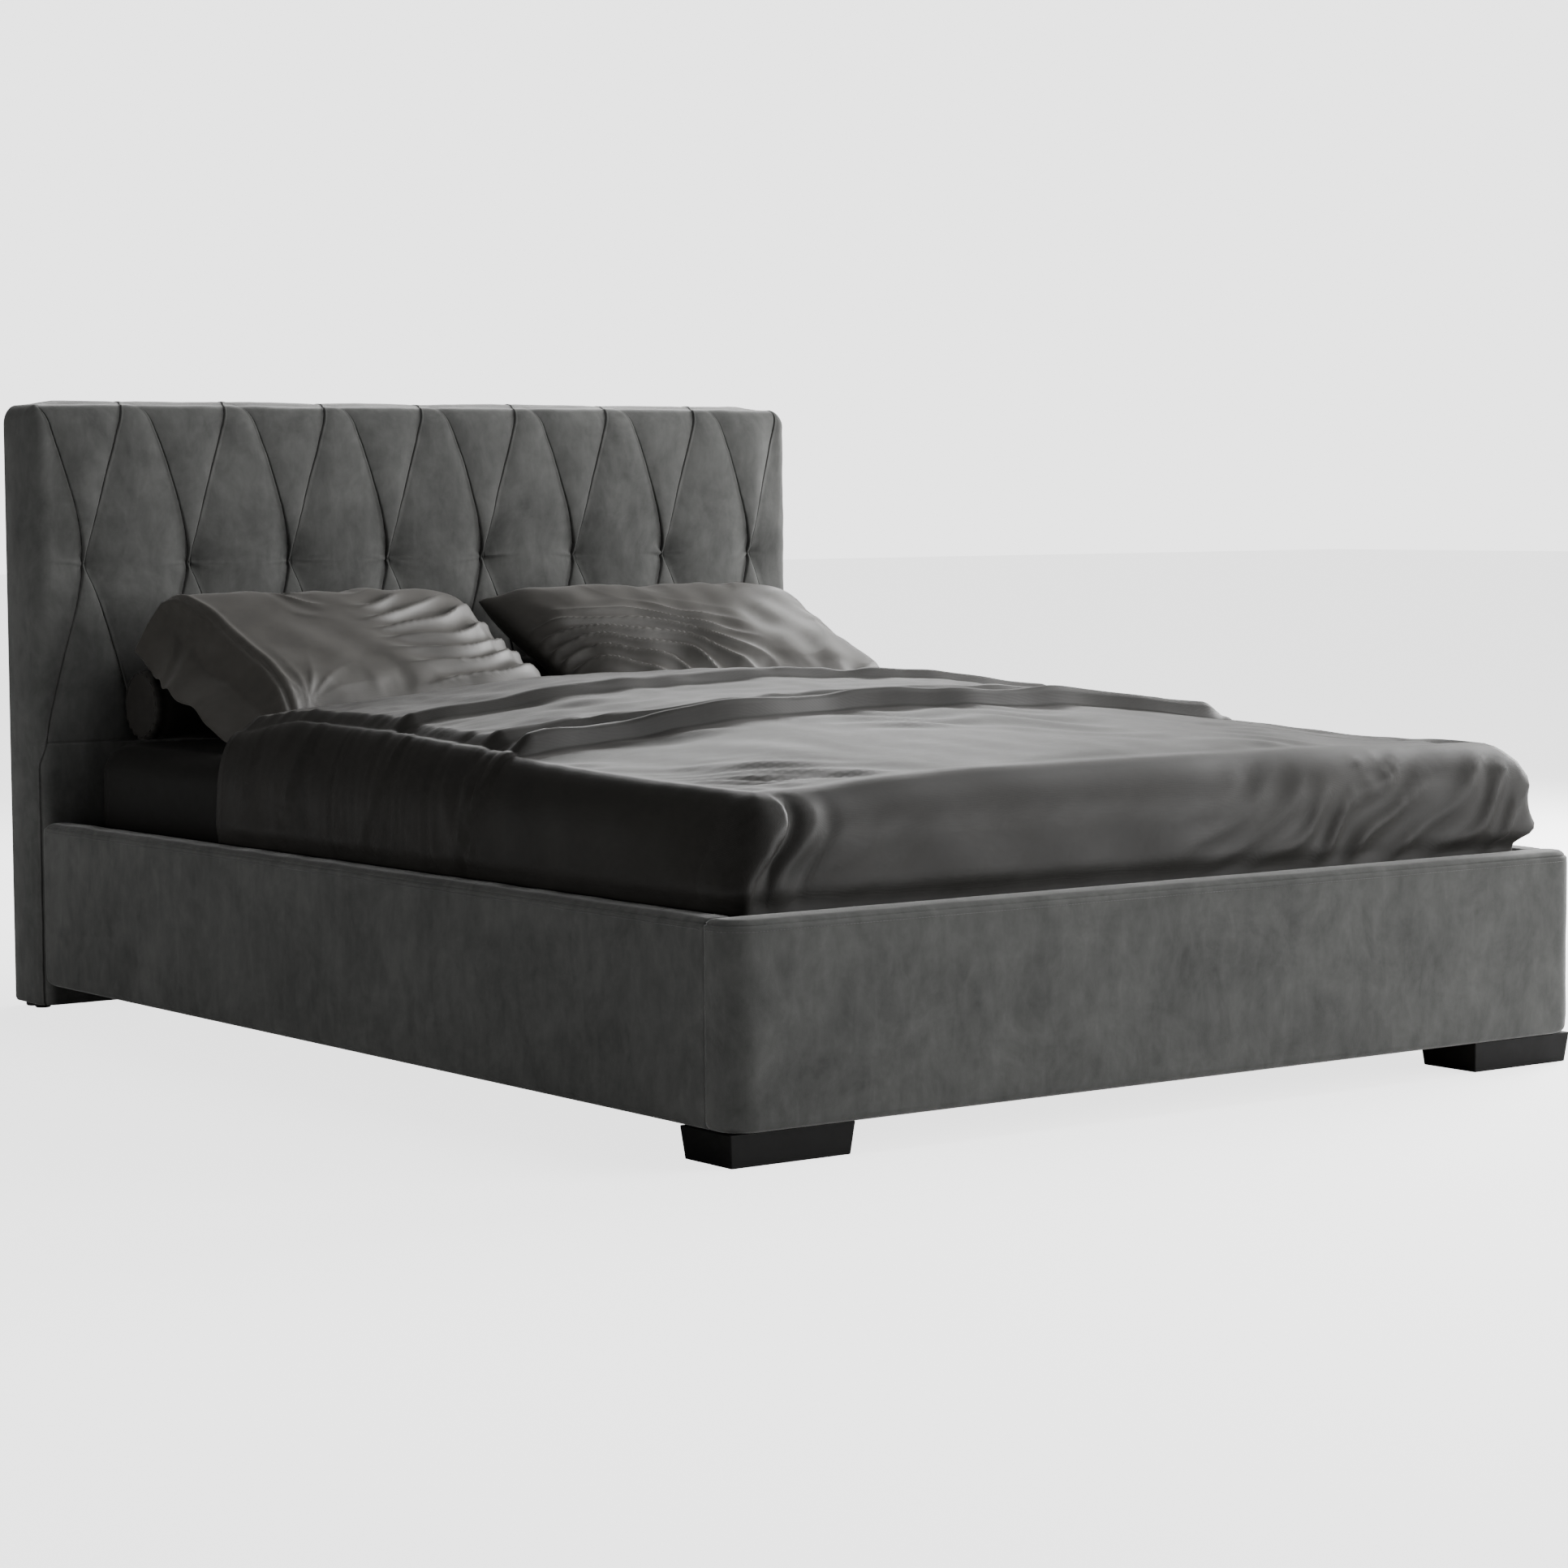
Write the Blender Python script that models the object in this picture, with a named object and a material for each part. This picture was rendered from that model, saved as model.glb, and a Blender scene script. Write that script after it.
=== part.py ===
"""Upholstered bed: tufted headboard, padded rails and foot panel, boarded base, mattress and bedding.

Metres, +Z up, +Y towards the headboard. The origin is on the floor, in the middle of the footprint.
"""

import math

import bmesh
import bpy
from mathutils import Matrix, Vector

# Overall sizes of the frame
BED_WIDTH = 1.630
BED_LENGTH = 2.225
HEADBOARD_HEIGHT = 1.079
HEADBOARD_OVERHANG = 0.003
HEADBOARD_CLEARANCE = 0.010
RAIL_TOP = 0.334
RAIL_BOTTOM = 0.047
RAIL_THICKNESS = 0.055
FOOT_THICKNESS = 0.065
FOOT_CORNER_RADIUS = 0.045

# Fits
SEAT = 0.0003
BEDDING_CLEARANCE = 0.010
BOLT_CLEARANCE = 0.0005
TOOL_OVERSHOOT = 0.002

# Headboard
BORDER_THICKNESS = 0.012
LINING_THICKNESS = 0.004
FRAME_DEPTH = 0.070
PAD_THICKNESS = 0.0411
PANEL_THICKNESS = 0.009
STILE_PAST_BOLT = 0.0123
CROSS_RAIL_HEIGHT = 0.070
TOP_PAD_THICKNESS = 0.039
TOP_ROLL_RADIUS = 0.035
TOP_CROWN = 0.011
TOP_CREST_SETBACK = 0.075
BACK_ROLL_RADIUS = 0.012
PANEL_SEAM_HEIGHT = 0.4745
TUFT_COUNT = 8
TUFT_BELOW_TOP = 0.290
FOAM_UNDER_TUFT = 0.0071
TUFT_MOUTH_RADIUS = 0.045
TUFT_WAIST_RADIUS = 0.018
TUFT_WAIST_SHARE = 0.7
TUFT_NECK_SHARE = 0.2
TUFT_BUTTON_RADIUS = 0.006
TUFT_BUTTON_THICKNESS = 0.003
TUFT_BUTTON_DOME = 0.0015
TWINE_RADIUS = 0.0015
TWINE_HOLE_RADIUS = 0.0025
TOGGLE_RADIUS = 0.008
TOGGLE_THICKNESS = 0.003
TOGGLE_FROM_STILE = 0.0017
GLIDE_RADIUS = 0.014
GLIDE_CHAMFER = 0.002
GLIDE_PIN_RADIUS = 0.0015
GLIDE_PIN_LENGTH = 0.018
GLIDE_INSET = 0.017

# Side rails and foot panel
BOARD_THICKNESS = 0.022
BOARD_TOP_PADDING = 0.022
BOARD_END_PADDING = 0.010
BOARD_LIFT = 0.003
RAIL_EDGE_RADIUS = 0.012
LEDGER_WIDTH = 0.030
LEDGER_HEIGHT = 0.045
LEDGER_END_GAP = 0.075
FOOT_BLOCK_WIDTH = 0.210
FOOT_BLOCK_DEPTH = 0.120
FOOT_BLOCK_TAPER = 0.005
FOOT_BLOCK_SIDE_INSET = 0.004
FOOT_BLOCK_FACE_INSET = 0.0125
FOOT_BLOCK_EDGE = 0.0015

# Corner brackets and bolts
BRACKET_STEEL = 0.004
BRACKET_HEIGHT = 0.100
BRACKET_BOTTOM = 0.075
BRACKET_RAIL_LEG = 0.060
BRACKET_END_LEG = 0.045
BOLT_RADIUS = 0.004
BOLT_HEAD_RADIUS = 0.008
BOLT_HEAD_HEIGHT = 0.005
BOLT_HEAD_CHAMFER = 0.0024
BOLT_FROM_RAIL = 0.017
BOLT_PAST_BOARD_FACE = 0.018
BOLT_INTO_STILE = 0.050

# Boarded base
BASE_TOP = 0.245
WOOD_EDGE = 0.002
SLAT_COUNT = 9
SLAT_WIDTH = 0.095
SLAT_THICKNESS = 0.018
SLAT_SIDE_GAP = 0.002
SLAT_END_MARGIN = 0.070
BEAM_WIDTH = 0.045
BEAM_HEIGHT = 0.060
HANGER_STEEL = 0.003
HANGER_REACH = 0.040
LEG_WIDTH = 0.045
LEVELLER_RADIUS = 0.022
LEVELLER_HEIGHT = 0.012
LEVELLER_CHAMFER = 0.0025
LEVELLER_STEM_RADIUS = 0.005
LEVELLER_STEM_LENGTH = 0.045

# Mattress and bedding
MATTRESS_HEIGHT = 0.230
MATTRESS_HEAD_GAP = 0.025
MATTRESS_EDGE_RADIUS = 0.030
COVERLET_THICKNESS = 0.006
COVERLET_TOP_THICKNESS = 0.030
COVERLET_CROWN = 0.055
CROWN_SIDE_POWER = 2.5
CROWN_RISE_SHARE = 0.35
COVERLET_EDGE = 0.004
COVERLET_DROP = 0.175
COVERLET_TO_PILLOWS = 0.060
COVERLET_LOOSENESS = 0.001
BOLSTER_RADIUS = 0.065
BOLSTER_FROM_SIDE = 0.085
BOLSTER_END_RADIUS = 0.018
BOLSTER_HEAD_GAP = 0.025
PILLOW_GAP = 0.055
PILLOW_FROM_SIDE = 0.0325
PILLOW_DEPTH = 0.460
PILLOW_THICKNESS = 0.150
PILLOW_FULLNESS = 4
PILLOW_TILT = math.radians(25.0)
PILLOW_SHIFT = 0.015
PILLOW_REACH = 0.4875
PILLOW_RISE = 0.048

# Worked out from the sizes above
HALF_WIDTH = BED_WIDTH / 2
HEADBOARD_DEPTH = LINING_THICKNESS + FRAME_DEPTH + PANEL_THICKNESS + PAD_THICKNESS + 3 * SEAT
FOOT_FACE = -BED_LENGTH / 2
HEAD_BACK = BED_LENGTH / 2
HEAD_FRONT = HEAD_BACK - HEADBOARD_DEPTH
FOOT_INNER = FOOT_FACE + FOOT_THICKNESS
RAIL_INNER = HALF_WIDTH - RAIL_THICKNESS
HEAD_HALF = HALF_WIDTH + HEADBOARD_OVERHANG
PAD_HALF = HEAD_HALF - BORDER_THICKNESS - SEAT
FRAME_BACK = HEAD_BACK - LINING_THICKNESS - SEAT
FRAME_FRONT = FRAME_BACK - FRAME_DEPTH
PANEL_BACK = FRAME_FRONT - SEAT
PANEL_FRONT = PANEL_BACK - PANEL_THICKNESS
PAD_BACK = PANEL_FRONT - SEAT
FRAME_TOP = HEADBOARD_HEIGHT - TOP_PAD_THICKNESS
FRAME_BOTTOM = HEADBOARD_CLEARANCE + SEAT
BOARD_TOP = RAIL_TOP - BOARD_TOP_PADDING
BOARD_BOTTOM = RAIL_BOTTOM + BOARD_LIFT
SLAT_BOTTOM = BASE_TOP - SLAT_THICKNESS
LEDGER_TOP = SLAT_BOTTOM - SEAT
BEAM_BOTTOM = LEDGER_TOP - BEAM_HEIGHT
BOLT_HEIGHT = BRACKET_BOTTOM + BRACKET_HEIGHT / 2
BOLT_X = RAIL_INNER - BOLT_FROM_RAIL
STILE_INNER = BOLT_X - STILE_PAST_BOLT
TUFT_DEPTH = PAD_THICKNESS - FOAM_UNDER_TUFT
TUFT_HEIGHT = HEADBOARD_HEIGHT - TUFT_BELOW_TOP
BOLT_HOLE_RADIUS = BOLT_RADIUS + BOLT_CLEARANCE
MATTRESS_BOTTOM = BASE_TOP + SEAT
MATTRESS_TOP = MATTRESS_BOTTOM + MATTRESS_HEIGHT
MATTRESS_HALF = RAIL_INNER - BEDDING_CLEARANCE
MATTRESS_FOOT = FOOT_INNER + BEDDING_CLEARANCE
MATTRESS_HEAD = HEAD_FRONT - MATTRESS_HEAD_GAP
PILLOW_FRONT = HEAD_FRONT - PILLOW_REACH
PILLOW_LENGTH = MATTRESS_HALF - PILLOW_FROM_SIDE - PILLOW_GAP / 2
COVERLET_HEAD_LINE = PILLOW_FRONT - COVERLET_TO_PILLOWS
UP = Vector((0, 0, 1))


def finish(name, colour, roughness, metallic=0.0):
    """A plain material: one colour, one roughness."""
    material = bpy.data.materials.new(name)
    material.use_nodes = True
    shader = material.node_tree.nodes["Principled BSDF"]
    shader.inputs["Base Color"].default_value = (*colour, 1.0)
    shader.inputs["Roughness"].default_value = roughness
    shader.inputs["Metallic"].default_value = metallic
    material.diffuse_color = (*colour, 1.0)
    return material


def place(name, mesh, location, material, rotation=(0, 0, 0)):
    """Puts a mesh in the scene as one named piece."""
    mesh.materials.append(material)
    obj = bpy.data.objects.new(name, mesh)
    obj.location = location
    obj.rotation_euler = rotation
    bpy.context.scene.collection.objects.link(obj)
    return obj


def to_mesh(name, shape):
    """Closes off a bmesh with its faces turned out."""
    bmesh.ops.recalc_face_normals(shape, faces=shape.faces)
    if shape.calc_volume(signed=True) < 0:
        bmesh.ops.reverse_faces(shape, faces=shape.faces)
    mesh = bpy.data.meshes.new(name)
    shape.to_mesh(mesh)
    shape.free()
    return mesh


def soften(obj, radius, segments):
    """Rounds every sharp edge of a piece."""
    bevel = obj.modifiers.new("soft_edges", "BEVEL")
    bevel.width = radius
    bevel.segments = segments
    bevel.limit_method = "ANGLE"
    bevel.use_clamp_overlap = True


def block(name, low, high, material, edge=0.0, segments=2):
    """A box between two corners, its origin in its middle."""
    low, high = Vector(low), Vector(high)
    shape = bmesh.new()
    bmesh.ops.create_cube(shape, size=1.0, matrix=Matrix.Diagonal((*(high - low), 1.0)))
    obj = place(name, to_mesh(name, shape), (low + high) / 2, material)
    if edge:
        soften(obj, edge, segments)
    return obj


def mirrored_block(name, side, low, high, material, edge=0.0, segments=2):
    """A box given for the +X side, put on either side."""
    xs = sorted((side * low[0], side * high[0]))
    return block(name, (xs[0], *low[1:]), (xs[1], *high[1:]), material, edge, segments)


def prism(name, outline, depth, axes, location, material):
    """A closed outline, given by the two axes it lies in, pushed out along the third."""
    shape = bmesh.new()
    corners = []
    for first, second in outline:
        point = Vector((0, 0, 0))
        point[axes[0]] = first
        point[axes[1]] = second
        corners.append(shape.verts.new(point))
    face = shape.faces.new(corners)
    pushed = bmesh.ops.extrude_face_region(shape, geom=[face])
    along = Vector((0, 0, 0))
    along[3 - axes[0] - axes[1]] = depth
    moved = [item for item in pushed["geom"] if isinstance(item, bmesh.types.BMVert)]
    bmesh.ops.translate(shape, vec=along, verts=moved)
    return place(name, to_mesh(name, shape), location, material)


def turned(name, profile, location, direction, material, steps=24):
    """A round piece: (radius, height) points from axis to axis, standing along a direction."""
    shape = bmesh.new()
    verts = [shape.verts.new((radius, 0, height)) for radius, height in profile]
    edges = [shape.edges.new(pair) for pair in zip(verts, verts[1:])]
    bmesh.ops.spin(
        shape, geom=verts + edges, cent=(0, 0, 0), axis=(0, 0, 1),
        angle=2 * math.pi, steps=steps, use_merge=True, use_duplicate=False,
    )
    bmesh.ops.remove_doubles(shape, verts=shape.verts, dist=1e-6)
    shape.transform(UP.rotation_difference(Vector(direction)).to_matrix().to_4x4())
    mesh = to_mesh(name, shape)
    mesh.shade_smooth()
    mesh.set_sharp_from_angle(angle=math.radians(40))
    return place(name, mesh, location, material)


def cylinder_profile(radius, bottom, top):
    return [(0, bottom), (radius, bottom), (radius, top), (0, top)]


def arc(centre, radius, start, end, steps):
    """Points on a round corner, angles in degrees."""
    points = []
    for step in range(steps + 1):
        angle = math.radians(start + (end - start) * step / steps)
        across = centre[0] + radius * math.cos(angle)
        points.append((across, centre[1] + radius * math.sin(angle)))
    return points


def cut(obj, cutter):
    """Takes the cutter's shape out of a piece and keeps the cutter out of sight."""
    cutter.hide_render = True
    cutter.display_type = "WIRE"
    boolean = obj.modifiers.new("cut_" + cutter.name, "BOOLEAN")
    boolean.operation = "DIFFERENCE"
    boolean.object = cutter


def bore(obj, location, direction, radius, length, material):
    """A round hole from a point along a direction."""
    name = "bore_" + obj.name
    tool = turned(name, cylinder_profile(radius, 0, length), location, direction, material)
    cut(obj, tool)


def headboard_outline():
    """The padded section over the top, (y, z), from the front face to the back face."""
    front_top = HEADBOARD_HEIGHT - TOP_CROWN
    roll = TOP_ROLL_RADIUS
    points = arc((HEAD_FRONT + roll, front_top - roll), roll, 180, 100, 6)
    crest = (HEAD_FRONT + TOP_CREST_SETBACK, HEADBOARD_HEIGHT)
    back = BACK_ROLL_RADIUS
    points += [crest]
    points += arc((HEAD_BACK - back, front_top - back), back, 90, 0, 4)
    return points


def tuft_positions():
    """Across the bed, the outer two just inside the stiles."""
    reach = STILE_INNER - TOGGLE_FROM_STILE - TOGGLE_RADIUS
    pitch = 2 * reach / (TUFT_COUNT - 1)
    return [-reach + index * pitch for index in range(TUFT_COUNT)]


def build_headboard_frame(wood, ply, lining, plastic):
    for side, word in ((-1, "left"), (1, "right")):
        stile = mirrored_block(
            "headboard_stile_" + word, side,
            (STILE_INNER, FRAME_FRONT, FRAME_BOTTOM), (PAD_HALF, FRAME_BACK, FRAME_TOP), wood,
        )
        bore(
            stile, (side * BOLT_X, PANEL_FRONT, BOLT_HEIGHT), (0, 1, 0),
            BOLT_HOLE_RADIUS, PANEL_THICKNESS + BOLT_INTO_STILE + BOLT_CLEARANCE, wood,
        )
        glide_x = side * (PAD_HALF - GLIDE_INSET)
        for word_y, glide_y in (
            ("front", FRAME_FRONT + GLIDE_INSET),
            ("back", FRAME_BACK - GLIDE_INSET),
        ):
            name = "headboard_glide_" + word + "_" + word_y
            pin_top = HEADBOARD_CLEARANCE + GLIDE_PIN_LENGTH
            profile = [(0, 0), (GLIDE_RADIUS - GLIDE_CHAMFER, 0), (GLIDE_RADIUS, GLIDE_CHAMFER)]
            profile += [(GLIDE_RADIUS, HEADBOARD_CLEARANCE), (GLIDE_PIN_RADIUS, HEADBOARD_CLEARANCE)]
            profile += [(GLIDE_PIN_RADIUS, pin_top), (0, pin_top)]
            turned(name, profile, (glide_x, glide_y, 0), (0, 0, 1), plastic)
            bore(
                stile, (glide_x, glide_y, 0), (0, 0, 1),
                GLIDE_PIN_RADIUS + BOLT_CLEARANCE, pin_top + BOLT_CLEARANCE, wood,
            )

    cross_half = STILE_INNER - SEAT
    middle = PANEL_SEAM_HEIGHT - CROSS_RAIL_HEIGHT / 2
    for name, bottom in (
        ("headboard_top_rail", FRAME_TOP - CROSS_RAIL_HEIGHT),
        ("headboard_middle_rail", middle),
        ("headboard_bottom_rail", FRAME_BOTTOM),
    ):
        block(
            name, (-cross_half, FRAME_FRONT, bottom),
            (cross_half, FRAME_BACK, bottom + CROSS_RAIL_HEIGHT), wood,
        )

    panel = block(
        "headboard_front_panel", (-PAD_HALF, PANEL_FRONT, FRAME_BOTTOM),
        (PAD_HALF, PANEL_BACK, FRAME_TOP), ply,
    )
    for side in (-1, 1):
        bore(
            panel, (side * BOLT_X, PAD_BACK, BOLT_HEIGHT), (0, 1, 0),
            BOLT_HOLE_RADIUS, PANEL_THICKNESS + TOOL_OVERSHOOT, wood,
        )
    for across in tuft_positions():
        bore(
            panel, (across, PAD_BACK, TUFT_HEIGHT), (0, 1, 0),
            TWINE_HOLE_RADIUS, PANEL_THICKNESS + TOOL_OVERSHOOT, wood,
        )
    block(
        "headboard_back_lining", (-PAD_HALF, HEAD_BACK - LINING_THICKNESS, FRAME_BOTTOM),
        (PAD_HALF, HEAD_BACK, FRAME_TOP), lining,
    )


def build_headboard_upholstery(velvet, twine):
    outline = headboard_outline()
    seam = PANEL_SEAM_HEIGHT + SEAT / 2
    section = [(HEAD_FRONT, seam), *outline]
    section += [(HEAD_BACK, FRAME_TOP + SEAT), (PAD_BACK, FRAME_TOP + SEAT), (PAD_BACK, seam)]
    pad = prism(
        "headboard_upper_pad", section, 2 * PAD_HALF, (1, 2), (-PAD_HALF, 0, 0), velvet,
    )
    floor_y = HEAD_FRONT + TUFT_DEPTH
    for index, across in enumerate(tuft_positions(), start=1):
        well = [(0, -TUFT_DEPTH), (TWINE_HOLE_RADIUS, -TUFT_DEPTH), (TWINE_HOLE_RADIUS, 0)]
        well += [(TUFT_BUTTON_RADIUS + SEAT, 0), (TUFT_BUTTON_RADIUS + SEAT, TUFT_DEPTH * TUFT_NECK_SHARE)]
        well += [(TUFT_WAIST_RADIUS, TUFT_DEPTH * TUFT_WAIST_SHARE)]
        well += [(TUFT_MOUTH_RADIUS, TUFT_DEPTH + SEAT)]
        well += [(TUFT_MOUTH_RADIUS, TUFT_DEPTH + TOOL_OVERSHOOT), (0, TUFT_DEPTH + TOOL_OVERSHOOT)]
        tool = turned("tuft_well", well, (across, floor_y, TUFT_HEIGHT), (0, -1, 0), twine)
        cut(pad, tool)
        toggle_front = floor_y - PANEL_BACK - SEAT
        toggle_back = toggle_front - TOGGLE_THICKNESS
        tie = [(0, toggle_back), (TOGGLE_RADIUS, toggle_back), (TOGGLE_RADIUS, toggle_front)]
        tie += [(TWINE_RADIUS, toggle_front), (TWINE_RADIUS, SEAT)]
        tie += [(TUFT_BUTTON_RADIUS, SEAT), (TUFT_BUTTON_RADIUS, TUFT_BUTTON_THICKNESS)]
        tie += [(0, TUFT_BUTTON_THICKNESS + TUFT_BUTTON_DOME)]
        turned(
            "tuft_tie_%d" % index, tie, (across, floor_y, TUFT_HEIGHT), (0, -1, 0), twine, 16,
        )

    lower = block(
        "headboard_lower_pad", (-PAD_HALF, HEAD_FRONT, HEADBOARD_CLEARANCE),
        (PAD_HALF, PAD_BACK, PANEL_SEAM_HEIGHT - SEAT / 2), velvet,
    )
    for side, word in ((-1, "left"), (1, "right")):
        bore(
            lower, (side * BOLT_X, HEAD_FRONT - SEAT, BOLT_HEIGHT), (0, 1, 0),
            BOLT_HOLE_RADIUS, PAD_THICKNESS + TOOL_OVERSHOOT, velvet,
        )
        side_section = [(HEAD_FRONT, HEADBOARD_CLEARANCE), *outline]
        side_section += [(HEAD_BACK, HEADBOARD_CLEARANCE)]
        inner = PAD_HALF + SEAT if side > 0 else -HEAD_HALF
        prism(
            "headboard_side_border_" + word, side_section, BORDER_THICKNESS, (1, 2),
            (inner, 0, 0), velvet,
        )


def build_side_rails(velvet, wood):
    start = FOOT_INNER + SEAT
    end = HEAD_FRONT - SEAT
    board_x = (HALF_WIDTH + RAIL_INNER) / 2
    half = BOARD_THICKNESS / 2
    for side, word in ((-1, "left"), (1, "right")):
        cover = mirrored_block(
            "side_rail_cover_" + word, side, (RAIL_INNER, start, RAIL_BOTTOM),
            (HALF_WIDTH, end, RAIL_TOP), velvet, RAIL_EDGE_RADIUS, 3,
        )
        hollow = mirrored_block(
            "rail_hollow", side,
            (board_x - half - SEAT, start + BOARD_END_PADDING, 0),
            (board_x + half + SEAT, end - BOARD_END_PADDING, BOARD_TOP + SEAT), wood,
        )
        cut(cover, hollow)
        mirrored_block(
            "side_rail_board_" + word, side,
            (board_x - half, start + BOARD_END_PADDING + SEAT, BOARD_BOTTOM),
            (board_x + half, end - BOARD_END_PADDING - SEAT, BOARD_TOP), wood,
        )
        mirrored_block(
            "side_rail_ledger_" + word, side,
            (RAIL_INNER - SEAT - LEDGER_WIDTH, FOOT_INNER + LEDGER_END_GAP, LEDGER_TOP - LEDGER_HEIGHT),
            (RAIL_INNER - SEAT, HEAD_FRONT - LEDGER_END_GAP, LEDGER_TOP), wood, WOOD_EDGE, 1,
        )


def build_foot_panel(velvet, wood, lacquer):
    radius = FOOT_CORNER_RADIUS
    left = arc((-HALF_WIDTH + radius, FOOT_FACE + radius), radius, 180, 270, 8)
    right = arc((HALF_WIDTH - radius, FOOT_FACE + radius), radius, 270, 360, 8)
    plan = left + right + [(HALF_WIDTH, FOOT_INNER), (-HALF_WIDTH, FOOT_INNER)]
    cover = prism(
        "foot_panel_cover", plan, RAIL_TOP - RAIL_BOTTOM, (0, 1), (0, 0, RAIL_BOTTOM), velvet,
    )
    soften(cover, RAIL_EDGE_RADIUS, 3)
    middle = (FOOT_FACE + FOOT_INNER) / 2
    half = BOARD_THICKNESS / 2
    board_half = HALF_WIDTH - FOOT_CORNER_RADIUS
    hollow = block(
        "foot_hollow", (-board_half - SEAT, middle - half - SEAT, 0),
        (board_half + SEAT, middle + half + SEAT, BOARD_TOP + SEAT), wood,
    )
    cut(cover, hollow)
    board = block(
        "foot_panel_board", (-board_half, middle - half, BOARD_BOTTOM),
        (board_half, middle + half, BOARD_TOP), wood,
    )
    for side in (-1, 1):
        for piece in (cover, board):
            bore(
                piece, (side * BOLT_X, FOOT_INNER + SEAT, BOLT_HEIGHT), (0, -1, 0),
                BOLT_HOLE_RADIUS, foot_bolt_length() + BOLT_CLEARANCE, wood,
            )
    for side, word in ((-1, "left"), (1, "right")):
        build_foot_block("foot_block_" + word, side, lacquer)


def build_foot_block(name, side, lacquer):
    """A low tapered block, wider at the top."""
    outer = HALF_WIDTH - FOOT_BLOCK_SIDE_INSET
    centre = Vector((
        side * (outer - FOOT_BLOCK_WIDTH / 2),
        FOOT_FACE + FOOT_BLOCK_FACE_INSET + FOOT_BLOCK_DEPTH / 2,
        (RAIL_BOTTOM - SEAT) / 2,
    ))
    shape = bmesh.new()
    size = (FOOT_BLOCK_WIDTH, FOOT_BLOCK_DEPTH, RAIL_BOTTOM - SEAT, 1.0)
    bmesh.ops.create_cube(shape, size=1.0, matrix=Matrix.Diagonal(size))
    for vert in shape.verts:
        if vert.co.z < 0:
            vert.co.x -= math.copysign(FOOT_BLOCK_TAPER, vert.co.x)
            vert.co.y -= math.copysign(FOOT_BLOCK_TAPER, vert.co.y)
    soften(place(name, to_mesh(name, shape), centre, lacquer), FOOT_BLOCK_EDGE, 2)


def foot_bolt_length():
    """From the panel's inner face to past the middle of its board."""
    return (FOOT_THICKNESS - BOARD_THICKNESS) / 2 + BOLT_PAST_BOARD_FACE


def head_bolt_length():
    """From the headboard's front face into the stile."""
    return FRAME_FRONT - HEAD_FRONT + BOLT_INTO_STILE


def build_corner(end, side, steel, zinc):
    """An angle bracket in one corner of the frame, with its bolt."""
    name = "%s_%s" % ("head" if end > 0 else "foot", "right" if side > 0 else "left")
    wall = HEAD_FRONT - SEAT if end > 0 else FOOT_INNER + SEAT
    rail = RAIL_INNER - SEAT
    inward = -end
    plan = [(0, 0), (-BRACKET_END_LEG, 0), (-BRACKET_END_LEG, inward * BRACKET_STEEL)]
    plan += [(-BRACKET_STEEL, inward * BRACKET_STEEL), (-BRACKET_STEEL, inward * BRACKET_RAIL_LEG)]
    plan += [(0, inward * BRACKET_RAIL_LEG)]
    plan = [(side * across, along) for across, along in plan]
    bracket = prism(
        "corner_bracket_" + name, plan, BRACKET_HEIGHT, (0, 1),
        (side * rail, wall, BRACKET_BOTTOM), steel,
    )
    length = head_bolt_length() if end > 0 else foot_bolt_length()
    start = wall + inward * BRACKET_STEEL * 2
    bore(
        bracket, (side * BOLT_X, start, BOLT_HEIGHT), (0, end, 0),
        BOLT_HOLE_RADIUS, BRACKET_STEEL * 4, steel,
    )
    profile = [(0, -BOLT_HEAD_HEIGHT), (BOLT_HEAD_RADIUS - BOLT_HEAD_CHAMFER, -BOLT_HEAD_HEIGHT)]
    profile += [(BOLT_HEAD_RADIUS, BOLT_HEAD_CHAMFER - BOLT_HEAD_HEIGHT), (BOLT_HEAD_RADIUS, 0), (BOLT_RADIUS, 0)]
    tip = length + BRACKET_STEEL
    profile += [(BOLT_RADIUS, tip - BOLT_RADIUS / 2), (BOLT_RADIUS / 2, tip), (0, tip)]
    seat = wall + inward * (BRACKET_STEEL + SEAT)
    turned(
        "corner_bolt_" + name, profile, (side * BOLT_X, seat, BOLT_HEIGHT), (0, end, 0), zinc, 20,
    )


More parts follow.
